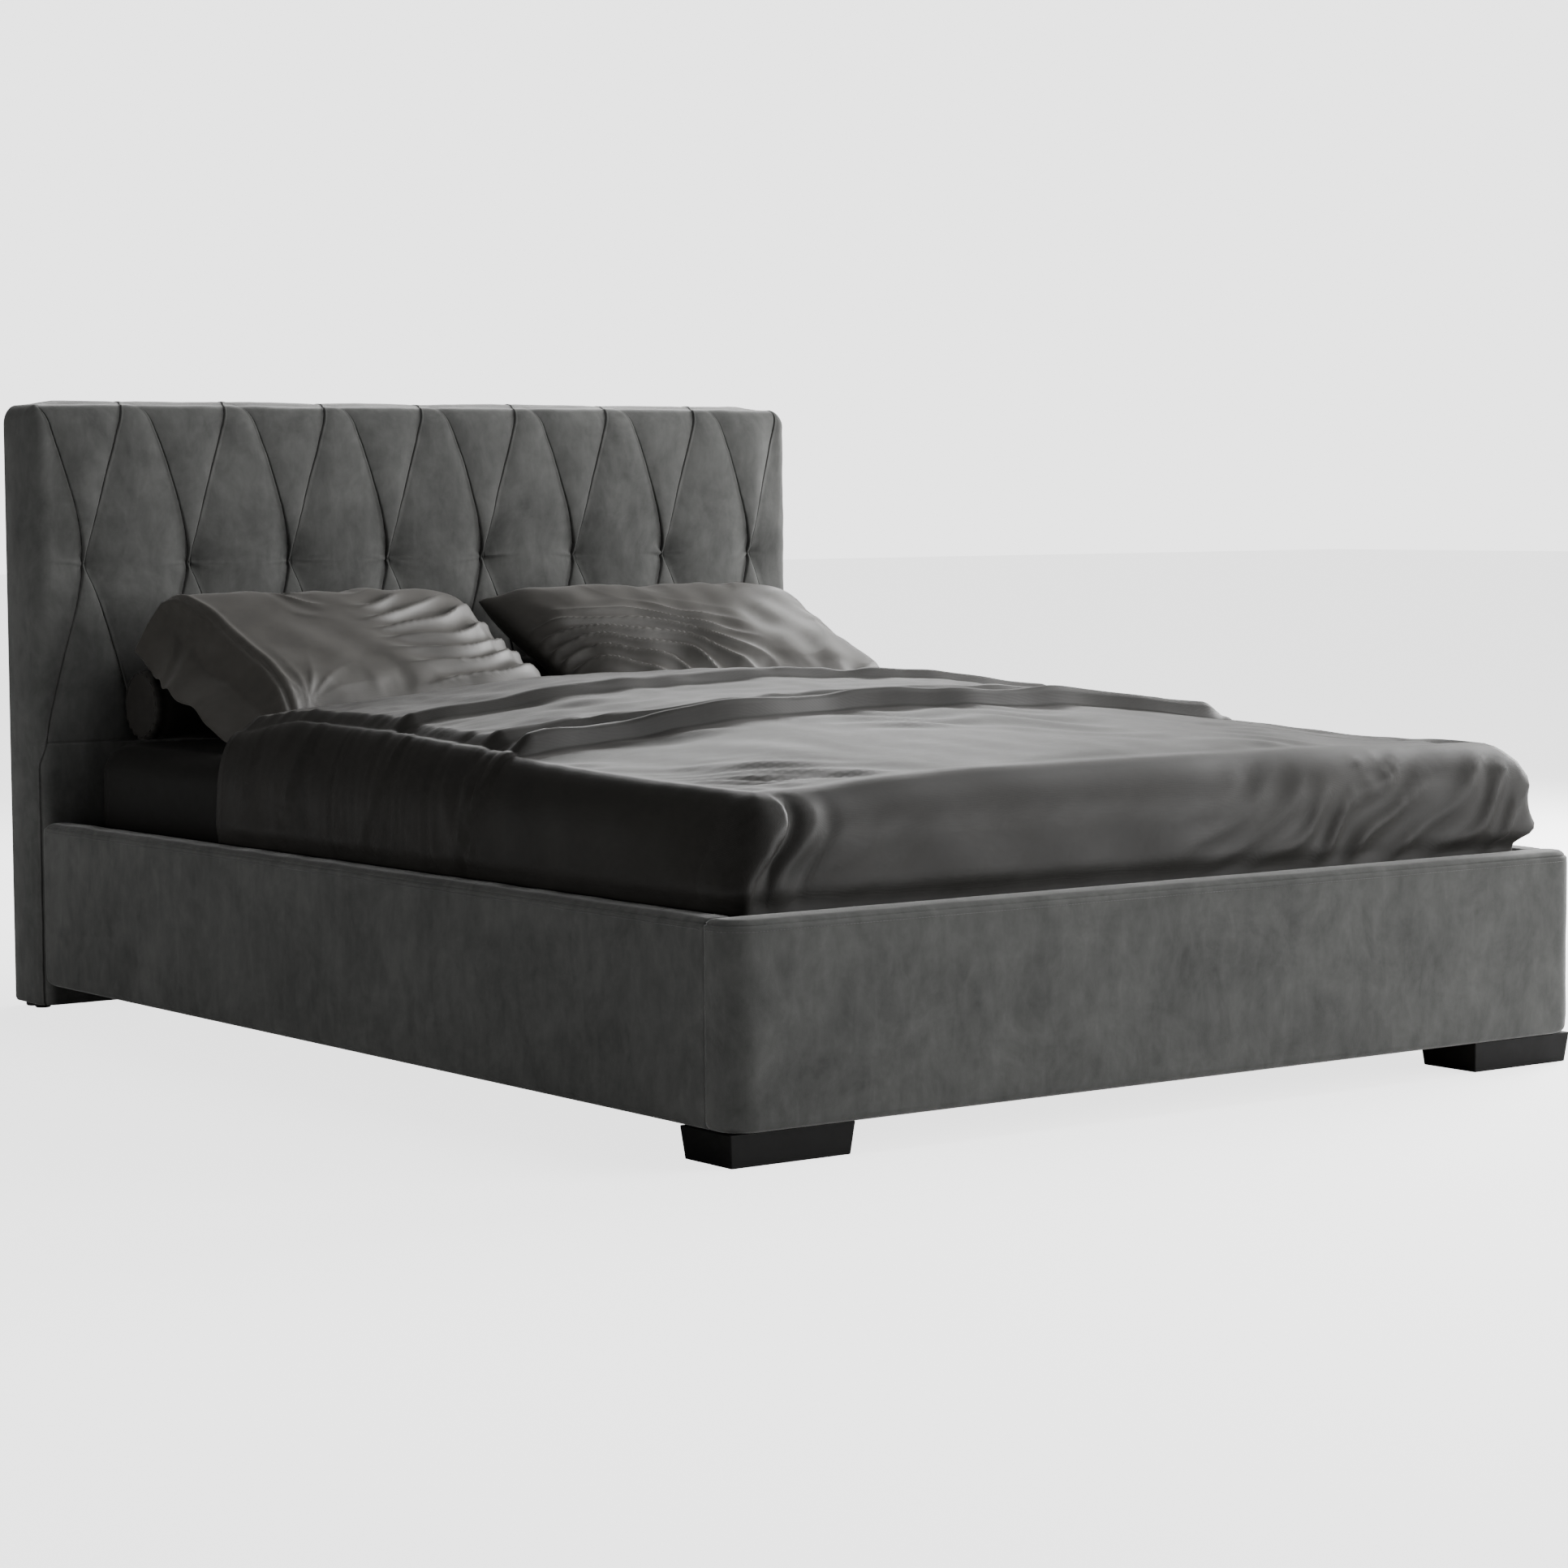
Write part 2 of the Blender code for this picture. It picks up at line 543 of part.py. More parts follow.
def build_base(wood, steel, plastic):
    beam_half = BEAM_WIDTH / 2
    for end, word in ((-1, "foot"), (1, "head")):
        wall = HEAD_FRONT - SEAT if end > 0 else FOOT_INNER + SEAT
        reach = wall - end * HANGER_REACH
        outer = beam_half + SEAT + HANGER_STEEL
        low_y, high_y = sorted((wall, reach))
        hanger = block(
            "beam_hanger_" + word, (-outer, low_y, BEAM_BOTTOM - SEAT - HANGER_STEEL),
            (outer, high_y, LEDGER_TOP), steel,
        )
        low_y, high_y = sorted((wall - end * HANGER_STEEL, reach - end * HANGER_STEEL))
        socket = block(
            "hanger_socket", (-beam_half - SEAT, low_y, BEAM_BOTTOM - SEAT),
            (beam_half + SEAT, high_y, LEDGER_TOP + HANGER_STEEL), steel,
        )
        cut(hanger, socket)
    clear = 2 * SEAT + HANGER_STEEL
    block(
        "centre_beam", (-beam_half, FOOT_INNER + clear, BEAM_BOTTOM),
        (beam_half, HEAD_FRONT - clear, LEDGER_TOP), wood, WOOD_EDGE, 1,
    )

    middle = (FOOT_INNER + HEAD_FRONT) / 2
    leg_half = LEG_WIDTH / 2
    leg = block(
        "centre_leg", (-leg_half, middle - leg_half, LEVELLER_HEIGHT + SEAT),
        (leg_half, middle + leg_half, BEAM_BOTTOM - SEAT), wood, WOOD_EDGE, 1,
    )
    bore(
        leg, (0, middle, 0), (0, 0, 1), LEVELLER_STEM_RADIUS + BOLT_CLEARANCE,
        LEVELLER_HEIGHT + LEVELLER_STEM_LENGTH + BOLT_CLEARANCE, steel,
    )
    stem_top = LEVELLER_HEIGHT + LEVELLER_STEM_LENGTH
    profile = [(0, 0), (LEVELLER_RADIUS - LEVELLER_CHAMFER, 0), (LEVELLER_RADIUS, LEVELLER_CHAMFER)]
    profile += [(LEVELLER_RADIUS, LEVELLER_HEIGHT), (LEVELLER_STEM_RADIUS, LEVELLER_HEIGHT)]
    profile += [(LEVELLER_STEM_RADIUS, stem_top), (0, stem_top)]
    turned("centre_leg_leveller", profile, (0, middle, 0), (0, 0, 1), plastic)

    slat_half = RAIL_INNER - SLAT_SIDE_GAP
    first = FOOT_INNER + SLAT_END_MARGIN
    pitch = (HEAD_FRONT - SLAT_END_MARGIN - SLAT_WIDTH - first) / (SLAT_COUNT - 1)
    for index in range(SLAT_COUNT):
        low_y = first + index * pitch
        block(
            "base_slat_%d" % (index + 1), (-slat_half, low_y, SLAT_BOTTOM),
            (slat_half, low_y + SLAT_WIDTH, BASE_TOP), wood, WOOD_EDGE, 1,
        )


def build_mattress(ticking):
    block(
        "mattress", (-MATTRESS_HALF, MATTRESS_FOOT, MATTRESS_BOTTOM),
        (MATTRESS_HALF, MATTRESS_HEAD, MATTRESS_TOP), ticking, MATTRESS_EDGE_RADIUS, 4,
    )


def crown(across, along):
    """How far the coverlet's top stands up in its middle, both given from 0 to 1."""
    side = 1 - abs(2 * across - 1) ** CROWN_SIDE_POWER
    run = min(1.0, along / CROWN_RISE_SHARE)
    return COVERLET_CROWN * side * math.sin(run * math.pi / 2)


def build_coverlet(bedding):
    """A crowned cover over the mattress, hanging inside the rails and the foot panel."""
    half = MATTRESS_HALF + COVERLET_LOOSENESS + COVERLET_THICKNESS
    foot = MATTRESS_FOOT - COVERLET_LOOSENESS - COVERLET_THICKNESS
    hem = MATTRESS_TOP - COVERLET_DROP
    top = MATTRESS_TOP + COVERLET_TOP_THICKNESS
    columns, rows = 12, 12
    shape = bmesh.new()
    grid = []
    for row in range(rows + 1):
        line = []
        for column in range(columns + 1):
            across, along = column / columns, row / rows
            x = -half + 2 * half * across
            y = foot + (COVERLET_HEAD_LINE - foot) * along
            line.append(shape.verts.new((x, y, top + crown(across, along))))
        grid.append(line)
    for row in range(rows):
        for column in range(columns):
            shape.faces.new((
                grid[row][column], grid[row][column + 1],
                grid[row + 1][column + 1], grid[row + 1][column],
            ))
    rim = [edge for edge in shape.edges if edge.is_boundary]
    hung = bmesh.ops.extrude_edge_only(shape, edges=rim)
    lower = [item for item in hung["geom"] if isinstance(item, bmesh.types.BMVert)]
    for vert in lower:
        vert.co.z = hem
    bmesh.ops.contextual_create(shape, geom=[edge for edge in shape.edges if edge.is_boundary])
    coverlet = place("coverlet", to_mesh("coverlet", shape), (0, 0, 0), bedding)
    soften(coverlet, COVERLET_EDGE, 2)
    inner = MATTRESS_HALF + COVERLET_LOOSENESS
    hollow = block(
        "coverlet_hollow", (-inner, MATTRESS_FOOT - COVERLET_LOOSENESS, hem - COVERLET_DROP),
        (inner, COVERLET_HEAD_LINE + COVERLET_DROP, MATTRESS_TOP + COVERLET_LOOSENESS), bedding,
    )
    cut(coverlet, hollow)


def build_bolster(bedding):
    half = MATTRESS_HALF - BOLSTER_FROM_SIDE
    turn = BOLSTER_END_RADIUS
    profile = [(0, -half)]
    profile += arc((BOLSTER_RADIUS - turn, -half + turn), turn, -90, 0, 4)
    profile += arc((BOLSTER_RADIUS - turn, half - turn), turn, 0, 90, 4)
    profile += [(0, half)]
    centre_y = HEAD_FRONT - BOLSTER_HEAD_GAP - BOLSTER_RADIUS
    centre = (0, centre_y, MATTRESS_TOP + SEAT + BOLSTER_RADIUS)
    turned("bolster", profile, centre, (1, 0, 0), bedding, 32)


def build_pillow(name, centre_x, bedding):
    """A lens-shaped cushion with a thin rim, leaning back on the bolster."""
    columns, rows = 14, 10
    shape = bmesh.new()
    faces_up, faces_down = {}, {}
    for row in range(rows + 1):
        for column in range(columns + 1):
            u = 2 * column / columns - 1
            v = 2 * row / rows - 1
            swell = math.sqrt(max(0.0, (1 - u ** PILLOW_FULLNESS) * (1 - v ** PILLOW_FULLNESS))) * PILLOW_THICKNESS / 2
            x, y = u * PILLOW_LENGTH / 2, v * PILLOW_DEPTH / 2
            faces_up[column, row] = shape.verts.new((x, y, swell))
            rim = abs(u) == 1 or abs(v) == 1
            faces_down[column, row] = faces_up[column, row] if rim else shape.verts.new((x, y, -swell))
    for row in range(rows):
        for column in range(columns):
            ring = [(column, row), (column + 1, row), (column + 1, row + 1), (column, row + 1)]
            shape.faces.new([faces_up[spot] for spot in ring])
            shape.faces.new([faces_down[spot] for spot in reversed(ring)])
    reach = PILLOW_DEPTH / 2
    centre_y = PILLOW_FRONT + reach * math.cos(PILLOW_TILT)
    centre_z = MATTRESS_TOP + PILLOW_RISE + reach * math.sin(PILLOW_TILT)
    place(name, to_mesh(name, shape), (centre_x, centre_y, centre_z), bedding, (PILLOW_TILT, 0, 0))


def clear_scene():
    for obj in list(bpy.data.objects):
        bpy.data.objects.remove(obj)


def build_bed():
    clear_scene()
    velvet = finish("grey_velvet", (0.10, 0.10, 0.098), 0.75)
    bedding = finish("charcoal_cotton", (0.055, 0.052, 0.048), 0.80)
    ticking = finish("dark_fitted_sheet", (0.035, 0.034, 0.033), 0.85)
    lacquer = finish("black_lacquered_wood", (0.012, 0.011, 0.010), 0.45)
    wood = finish("pine", (0.62, 0.44, 0.26), 0.60)
    ply = finish("birch_plywood", (0.66, 0.52, 0.34), 0.60)
    lining = finish("black_lining", (0.02, 0.02, 0.02), 0.90)
    steel = finish("black_steel", (0.03, 0.03, 0.03), 0.45, 0.6)
    zinc = finish("zinc_plated_steel", (0.60, 0.60, 0.58), 0.35, 1.0)
    plastic = finish("black_plastic", (0.015, 0.015, 0.015), 0.50)
    twine = finish("grey_twine", (0.10, 0.10, 0.10), 0.85)

    build_headboard_frame(wood, ply, lining, plastic)
    build_headboard_upholstery(velvet, twine)
    build_side_rails(velvet, wood)
    build_foot_panel(velvet, wood, lacquer)
    for end in (-1, 1):
        for side in (-1, 1):
            build_corner(end, side, steel, zinc)
    build_base(wood, steel, plastic)
    build_mattress(ticking)
    build_coverlet(bedding)
    build_bolster(bedding)
    for side, word in ((-1, "left"), (1, "right")):
        centre = PILLOW_SHIFT + side * (PILLOW_LENGTH + PILLOW_GAP) / 2
        build_pillow("pillow_" + word, centre, bedding)


build_bed()
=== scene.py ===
"""Upholstered bed: fabric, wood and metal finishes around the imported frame.

Metres, +Z up, +Y towards the headboard.
"""
import math

import bmesh
import bpy
import numpy as np
from mathutils import Matrix, Vector


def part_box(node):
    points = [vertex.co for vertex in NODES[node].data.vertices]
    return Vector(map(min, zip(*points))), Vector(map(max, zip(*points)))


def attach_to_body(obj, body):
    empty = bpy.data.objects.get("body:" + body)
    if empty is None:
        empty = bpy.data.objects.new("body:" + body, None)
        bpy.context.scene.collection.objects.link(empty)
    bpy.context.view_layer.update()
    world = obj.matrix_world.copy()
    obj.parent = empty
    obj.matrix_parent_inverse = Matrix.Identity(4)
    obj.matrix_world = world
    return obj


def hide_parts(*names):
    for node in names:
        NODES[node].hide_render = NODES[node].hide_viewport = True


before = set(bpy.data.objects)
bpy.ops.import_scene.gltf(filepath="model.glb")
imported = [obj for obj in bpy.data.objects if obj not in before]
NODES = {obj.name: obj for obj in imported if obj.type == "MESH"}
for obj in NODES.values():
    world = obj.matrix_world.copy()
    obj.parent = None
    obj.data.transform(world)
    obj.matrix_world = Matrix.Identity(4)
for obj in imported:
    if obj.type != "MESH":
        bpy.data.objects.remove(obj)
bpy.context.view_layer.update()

# Depth of a sewn groove, and the gap between a cover and the board inside it
GROOVE = 0.0022
SKIN = 0.0004


def smooth(value):
    """0 to 1 with a level start and end."""
    value = np.clip(value, 0.0, 1.0)
    return value * value * (3 - 2 * value)


def waves(points, size, seed, count=9):
    """A smooth uneven swell, about -1 to 1, from plane waves of one rough length."""
    picks = np.random.default_rng(seed)
    total = np.zeros(points.shape[:-1])
    for _ in range(count):
        heading = picks.normal(size=3)
        heading *= 2 * math.pi / size * picks.uniform(0.6, 1.5) / np.linalg.norm(heading)
        total += np.sin(points @ heading + picks.uniform(0, 2 * math.pi))
    return total / math.sqrt(count)


# ---- shaders ----

def add(tree, kind, inputs=None, **settings):
    """One node with its settings; inputs are values or sockets to link."""
    node = tree.nodes.new(kind)
    for key, value in settings.items():
        setattr(node, key, value)
    for key, value in (inputs or {}).items():
        if isinstance(value, bpy.types.NodeSocket):
            tree.links.new(value, node.inputs[key])
        else:
            node.inputs[key].default_value = value
    return node


def new_group(name, inputs, outputs):
    """An empty shader group with its sockets, and its two end nodes."""
    group = bpy.data.node_groups.new(name, "ShaderNodeTree")
    for label, kind, value in inputs:
        socket = group.interface.new_socket(name=label, in_out="INPUT", socket_type=kind)
        if value is not None:
            socket.default_value = value
    for label, kind in outputs:
        group.interface.new_socket(name=label, in_out="OUTPUT", socket_type=kind)
    return group, group.nodes.new("NodeGroupInput"), group.nodes.new("NodeGroupOutput")


def ranged(tree, value, low, high, start=0.3, end=0.7):
    """A mask spread from one value to another."""
    return add(tree, "ShaderNodeMapRange", {
        "Value": value, "From Min": start, "From Max": end, "To Min": low, "To Max": high,
    }).outputs["Result"]


def maths(tree, operation, first, second):
    return add(tree, "ShaderNodeMath", {0: first, 1: second}, operation=operation).outputs[0]


def nap_group():
    """Brushed pile: cloudy patches, short strokes and a fine grain."""
    group, inlet, outlet = new_group("brushed_nap", [
        ("Vector", "NodeSocketVector", None), ("Patch", "NodeSocketFloat", 5.0),
        ("Stroke", "NodeSocketFloat", 26.0), ("Grain", "NodeSocketFloat", 900.0),
    ], [("Shade", "NodeSocketFloat"), ("Pile", "NodeSocketFloat"), ("Height", "NodeSocketFloat")])
    vector = inlet.outputs["Vector"]
    patch = add(group, "ShaderNodeTexNoise", {
        "Vector": vector, "Scale": inlet.outputs["Patch"], "Detail": 6.0, "Roughness": 0.70, "Distortion": 0.4,
    }).outputs["Fac"]
    drawn = add(group, "ShaderNodeMapping", {"Vector": vector, "Scale": (1.0, 1.0, 0.45)}).outputs[0]
    stroke = add(group, "ShaderNodeTexNoise", {
        "Vector": drawn, "Scale": inlet.outputs["Stroke"], "Detail": 4.0, "Roughness": 0.6, "Distortion": 0.5,
    }).outputs["Fac"]
    grain = add(group, "ShaderNodeTexNoise", {
        "Vector": vector, "Scale": inlet.outputs["Grain"], "Detail": 2.0, "Roughness": 0.7,
    }).outputs["Fac"]
    shade = maths(group, "ADD", maths(group, "MULTIPLY", patch, 0.62), maths(group, "MULTIPLY", stroke, 0.3))
    shade = maths(group, "ADD", shade, maths(group, "MULTIPLY", grain, 0.08))
    group.links.new(shade, outlet.inputs["Shade"])
    group.links.new(maths(group, "ADD", maths(group, "MULTIPLY", stroke, 0.5), maths(group, "MULTIPLY", patch, 0.5)),
                    outlet.inputs["Pile"])
    group.links.new(maths(group, "ADD", grain, maths(group, "MULTIPLY", stroke, 1.6)), outlet.inputs["Height"])
    return group


def weave_group():
    """Plain weave: two thread directions with slubs, and a soft unevenness of the dye."""
    group, inlet, outlet = new_group("fine_weave", [
        ("Vector", "NodeSocketVector", None), ("Threads", "NodeSocketFloat", 260.0),
    ], [("Shade", "NodeSocketFloat"), ("Height", "NodeSocketFloat")])
    vector, threads = inlet.outputs["Vector"], inlet.outputs["Threads"]
    parts = []
    for direction in ("X", "Y", "Z"):
        parts.append(add(group, "ShaderNodeTexWave", {
            "Vector": vector, "Scale": threads, "Distortion": 0.6, "Detail": 1.0, "Detail Scale": 0.4,
        }, wave_type="BANDS", bands_direction=direction).outputs["Fac"])
    mixed = maths(group, "MULTIPLY", maths(group, "ADD", parts[0], parts[2]), parts[1])
    slub = add(group, "ShaderNodeTexNoise", {"Vector": vector, "Scale": 55.0, "Detail": 3.0}).outputs["Fac"]
    cloud = add(group, "ShaderNodeTexNoise", {
        "Vector": vector, "Scale": 4.0, "Detail": 4.0, "Roughness": 0.6, "Distortion": 0.6,
    }).outputs["Fac"]
    shade = maths(group, "ADD", maths(group, "MULTIPLY", cloud, 0.7), maths(group, "MULTIPLY", slub, 0.3))
    group.links.new(shade, outlet.inputs["Shade"])
    group.links.new(maths(group, "ADD", maths(group, "MULTIPLY", mixed, 0.5), slub), outlet.inputs["Height"])
    return group


def grain_group():
    """Long wood grain running along the vector's X."""
    group, inlet, outlet = new_group("long_grain", [
        ("Vector", "NodeSocketVector", None), ("Rings", "NodeSocketFloat", 9.0),
    ], [("Rings", "NodeSocketFloat"), ("Pores", "NodeSocketFloat")])
    long_way = add(group, "ShaderNodeMapping", {
        "Vector": inlet.outputs["Vector"], "Scale": (0.06, 1.0, 1.0),
    }).outputs[0]
    rings = add(group, "ShaderNodeTexWave", {
        "Vector": long_way, "Scale": inlet.outputs["Rings"], "Distortion": 5.0, "Detail": 3.0, "Detail Scale": 1.4,
    }, wave_type="BANDS", bands_direction="DIAGONAL").outputs["Fac"]
    pores = add(group, "ShaderNodeTexNoise", {"Vector": long_way, "Scale": 240.0, "Detail": 3.0}).outputs["Fac"]
    group.links.new(rings, outlet.inputs["Rings"])
    group.links.new(pores, outlet.inputs["Pores"])
    return group


def speckle_group():
    """Fine uneven surface with faint scuffs, for paint, plastic and plated steel."""
    group, inlet, outlet = new_group("fine_speckle", [
        ("Vector", "NodeSocketVector", None), ("Grain", "NodeSocketFloat", 500.0),
    ], [("Scuff", "NodeSocketFloat"), ("Height", "NodeSocketFloat")])
    scuff = add(group, "ShaderNodeTexNoise", {
        "Vector": inlet.outputs["Vector"], "Scale": 14.0, "Detail": 6.0, "Roughness": 0.7, "Distortion": 1.2,
    }).outputs["Fac"]
    fine = add(group, "ShaderNodeTexNoise", {
        "Vector": inlet.outputs["Vector"], "Scale": inlet.outputs["Grain"], "Detail": 2.0,
    }).outputs["Fac"]
    group.links.new(scuff, outlet.inputs["Scuff"])
    group.links.new(fine, outlet.inputs["Height"])
    return group


NAP, WEAVE, GRAIN, SPECKLE = nap_group(), weave_group(), grain_group(), speckle_group()


def new_material(name, group, values, turn=(0, 0, 0)):
    """A material with its shader and one placed effect, reading the piece's own coordinates."""
    material = bpy.data.materials.new(name)
    material.use_nodes = True
    tree = material.node_tree
    place = add(tree, "ShaderNodeTexCoord").outputs["Object"]
    if any(turn):
        place = add(tree, "ShaderNodeMapping", {"Vector": place, "Rotation": turn}).outputs[0]
    effect = add(tree, "ShaderNodeGroup", node_tree=group)
    tree.links.new(place, effect.inputs["Vector"])
    for key, value in values.items():
        effect.inputs[key].default_value = value
    return material, tree, tree.nodes["Principled BSDF"], effect


def colour_link(tree, shader, mask, dark, light):
    """Carries the base colour from dark to light by a mask."""
    mix = add(tree, "ShaderNodeMix", {0: mask, 6: (*dark, 1), 7: (*light, 1)}, data_type="RGBA")
    tree.links.new(mix.outputs[2], shader.inputs["Base Color"])


def bump(tree, shader, height, strength, distance):
    node = add(tree, "ShaderNodeBump", {"Height": height, "Strength": strength, "Distance": distance})
    tree.links.new(node.outputs["Normal"], shader.inputs["Normal"])


def velvet_material():
    material, tree, shader, nap = new_material("grey_velvet", NAP, {"Patch": 8.0, "Stroke": 42.0, "Grain": 1100.0})
    mask = ranged(tree, nap.outputs["Shade"], 0.0, 1.0, 0.34, 0.66)
    colour_link(tree, shader, mask, (0.052, 0.053, 0.051), (0.096, 0.097, 0.093))
    tree.links.new(ranged(tree, nap.outputs["Pile"], 0.95, 0.72), shader.inputs["Roughness"])
    shader.inputs["Specular IOR Level"].default_value = 0.15
    shader.inputs["Sheen Weight"].default_value = 0.50
    shader.inputs["Sheen Roughness"].default_value = 0.32
    shader.inputs["Sheen Tint"].default_value = (0.80, 0.80, 0.79, 1)
    bump(tree, shader, nap.outputs["Height"], 0.35, 0.0006)
    return material


def cotton_material(name, dark, light, sheen, threads, rough=0.62, shine=0.28):
    """Woven cloth. A lower rough and a higher shine make it a satin weave."""
    material, tree, shader, weave = new_material(name, WEAVE, {"Threads": threads})
    mask = ranged(tree, weave.outputs["Shade"], 0.0, 1.0, 0.35, 0.65)
    colour_link(tree, shader, mask, dark, light)
    tree.links.new(ranged(tree, weave.outputs["Shade"], rough, rough + 0.14), shader.inputs["Roughness"])
    shader.inputs["Specular IOR Level"].default_value = shine
    shader.inputs["Sheen Weight"].default_value = sheen
    shader.inputs["Sheen Roughness"].default_value = 0.4
    shader.inputs["Sheen Tint"].default_value = (0.85, 0.83, 0.80, 1)
    bump(tree, shader, weave.outputs["Height"], 0.22, 0.0005)
    return material


def wood_material(name, dark, light, rings, turn=(0, 0, 0)):
    """Planed wood whose grain runs along X before the turn."""
    material, tree, shader, grain = new_material(name, GRAIN, {"Rings": rings}, turn)
    mask = maths(tree, "ADD", maths(tree, "MULTIPLY", grain.outputs["Rings"], 0.7),
                 maths(tree, "MULTIPLY", grain.outputs["Pores"], 0.4))
    colour_link(tree, shader, mask, dark, light)
    tree.links.new(ranged(tree, grain.outputs["Pores"], 0.48, 0.68), shader.inputs["Roughness"])
    bump(tree, shader, grain.outputs["Pores"], 0.25, 0.0004)
    return material


def hard_material(name, dark, light, rough, metallic=0.0, coat=0.0, grain=500.0, depth=0.12, shine=0.5):
    """Lacquer, plastic or metal with faint scuffs."""
    material, tree, shader, speckle = new_material(name, SPECKLE, {"Grain": grain})
    colour_link(tree, shader, ranged(tree, speckle.outputs["Scuff"], 0.0, 1.0, 0.35, 0.7), dark, light)
    tree.links.new(ranged(tree, speckle.outputs["Scuff"], rough - 0.06, rough + 0.12), shader.inputs["Roughness"])
    shader.inputs["Metallic"].default_value = metallic
    shader.inputs["Coat Weight"].default_value = coat
    shader.inputs["Specular IOR Level"].default_value = shine
    bump(tree, shader, speckle.outputs["Height"], depth, 0.0003)
    return material


VELVET = velvet_material()
BEDDING = cotton_material(
    "charcoal_bedding", (0.014, 0.0131, 0.0118), (0.024, 0.0226, 0.0204), 0.06, 240.0, 0.52, 0.30)
# The pillowcases are the bedding's charcoal cloth in a lighter colour: painted light, making up for the light the
# pillows get less of than the sheen-lit coverlet top.
PILLOWCASE_PAINTED_LIGHT = cotton_material(
    "charcoal_pillowcase_painted_light", (0.041, 0.0385, 0.0344), (0.061, 0.0574, 0.0518), 0.12, 240.0, 0.48, 0.48)
SHEET = cotton_material("fitted_sheet", (0.005, 0.0048, 0.0044), (0.009, 0.0086, 0.0078), 0.03, 240.0)
LINING = cotton_material("black_lining", (0.010, 0.010, 0.010), (0.020, 0.020, 0.020), 0.1, 320.0)
TWINE = cotton_material("grey_twine", (0.08, 0.08, 0.08), (0.15, 0.15, 0.15), 0.3, 420.0)
PINE = ((0.42, 0.26, 0.13), (0.72, 0.54, 0.33), 9.0)
PINE_X = wood_material("pine_along_bed_width", *PINE)
PINE_Y = wood_material("pine_along_bed_length", *PINE, (0, 0, math.pi / 2))
PINE_Z = wood_material("pine_upright", *PINE, (0, math.pi / 2, 0))
PLYWOOD = wood_material("plywood", (0.50, 0.36, 0.21), (0.74, 0.60, 0.40), 5.0)
LACQUER = hard_material("black_lacquer", (0.002, 0.0019, 0.0018), (0.004, 0.0038, 0.0036), 0.58, shine=0.22)
STEEL = hard_material(
    "black_steel", (0.014, 0.014, 0.014), (0.030, 0.030, 0.030), 0.45, metallic=0.4, depth=0.3)
ZINC = hard_material("zinc_steel", (0.50, 0.50, 0.47), (0.68, 0.68, 0.66), 0.32, metallic=1.0, grain=900.0)
PLASTIC = hard_material(
    "black_plastic", (0.010, 0.010, 0.010), (0.018, 0.018, 0.018), 0.5, grain=1400.0, depth=0.2)


def dress_frame():
    """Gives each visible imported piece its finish."""
    finishes = {
        "base_slat": PINE_X, "centre_beam": PINE_Y, "centre_leg_leveller": PLASTIC, "centre_leg": PINE_Z,
        "side_rail_ledger": PINE_Y, "side_rail_board": PINE_Y, "foot_panel_board": PINE_X,
        "headboard_stile": PINE_Z, "headboard_top_rail": PINE_X, "headboard_middle_rail": PINE_X,
        "headboard_bottom_rail": PINE_X, "headboard_front_panel": PLYWOOD, "headboard_back_lining": LINING,
        "headboard_glide": PLASTIC, "foot_block": LACQUER, "corner_bracket": STEEL, "corner_bolt": ZINC,
        "beam_hanger": STEEL, "tuft_tie": TWINE,
    }
    for name, node in NODES.items():
        match = [key for key in finishes if name.startswith(key)]
        if match:
            node.data.materials.clear()
            node.data.materials.append(finishes[max(match, key=len)])


# ---- meshes ----

def new_object(name, points, faces):
    """An object in the scene with a mesh of these points and faces."""
    mesh = bpy.data.meshes.new(name)
    mesh.from_pydata([tuple(point) for point in points], [], [tuple(face) for face in faces])
    piece = bpy.data.objects.new(name, mesh)
    bpy.context.scene.collection.objects.link(piece)
    return piece


def encloses(shape):
    """Whether a closed form's faces point outward."""
    return shape.calc_volume(signed=True) >= 0


def faces_up(shape):
    """Whether an open cloth's highest face points up."""
    return max(shape.faces, key=lambda face: face.calc_center_median().z).normal.z >= 0


def finish_mesh(piece, material, merge, right_way):
    """Joins doubled points, turns the faces outward and gives the smooth mesh its material."""
    mesh = piece.data
    shape = bmesh.new()
    shape.from_mesh(mesh)
    bmesh.ops.remove_doubles(shape, verts=shape.verts, dist=merge)
    bmesh.ops.dissolve_degenerate(shape, edges=shape.edges, dist=merge)
    bmesh.ops.recalc_face_normals(shape, faces=shape.faces)
    if not right_way(shape):
        bmesh.ops.reverse_faces(shape, faces=shape.faces)
    shape.to_mesh(mesh)
    shape.free()
    mesh.shade_smooth()
    mesh.materials.append(material)


def make_piece(name, points, faces, material, body, replaced, merge=2e-6):
    """A smooth closed piece from points and faces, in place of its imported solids."""
    piece = new_object(name, points, faces)
    finish_mesh(piece, material, merge, encloses)
    attach(piece, body, replaced)
    return piece


def attach(piece, body, replaced=()):
    """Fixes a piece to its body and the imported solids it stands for."""
    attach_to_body(piece, body)
    if replaced:
        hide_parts(*replaced)


def grid_faces(index):
    """Quads over a table of vertex numbers."""
    a, b = index[:-1, :-1].ravel(), index[:-1, 1:].ravel()
    c, d = index[1:, 1:].ravel(), index[1:, :-1].ravel()
    return np.stack([a, b, c, d], axis=1).tolist()


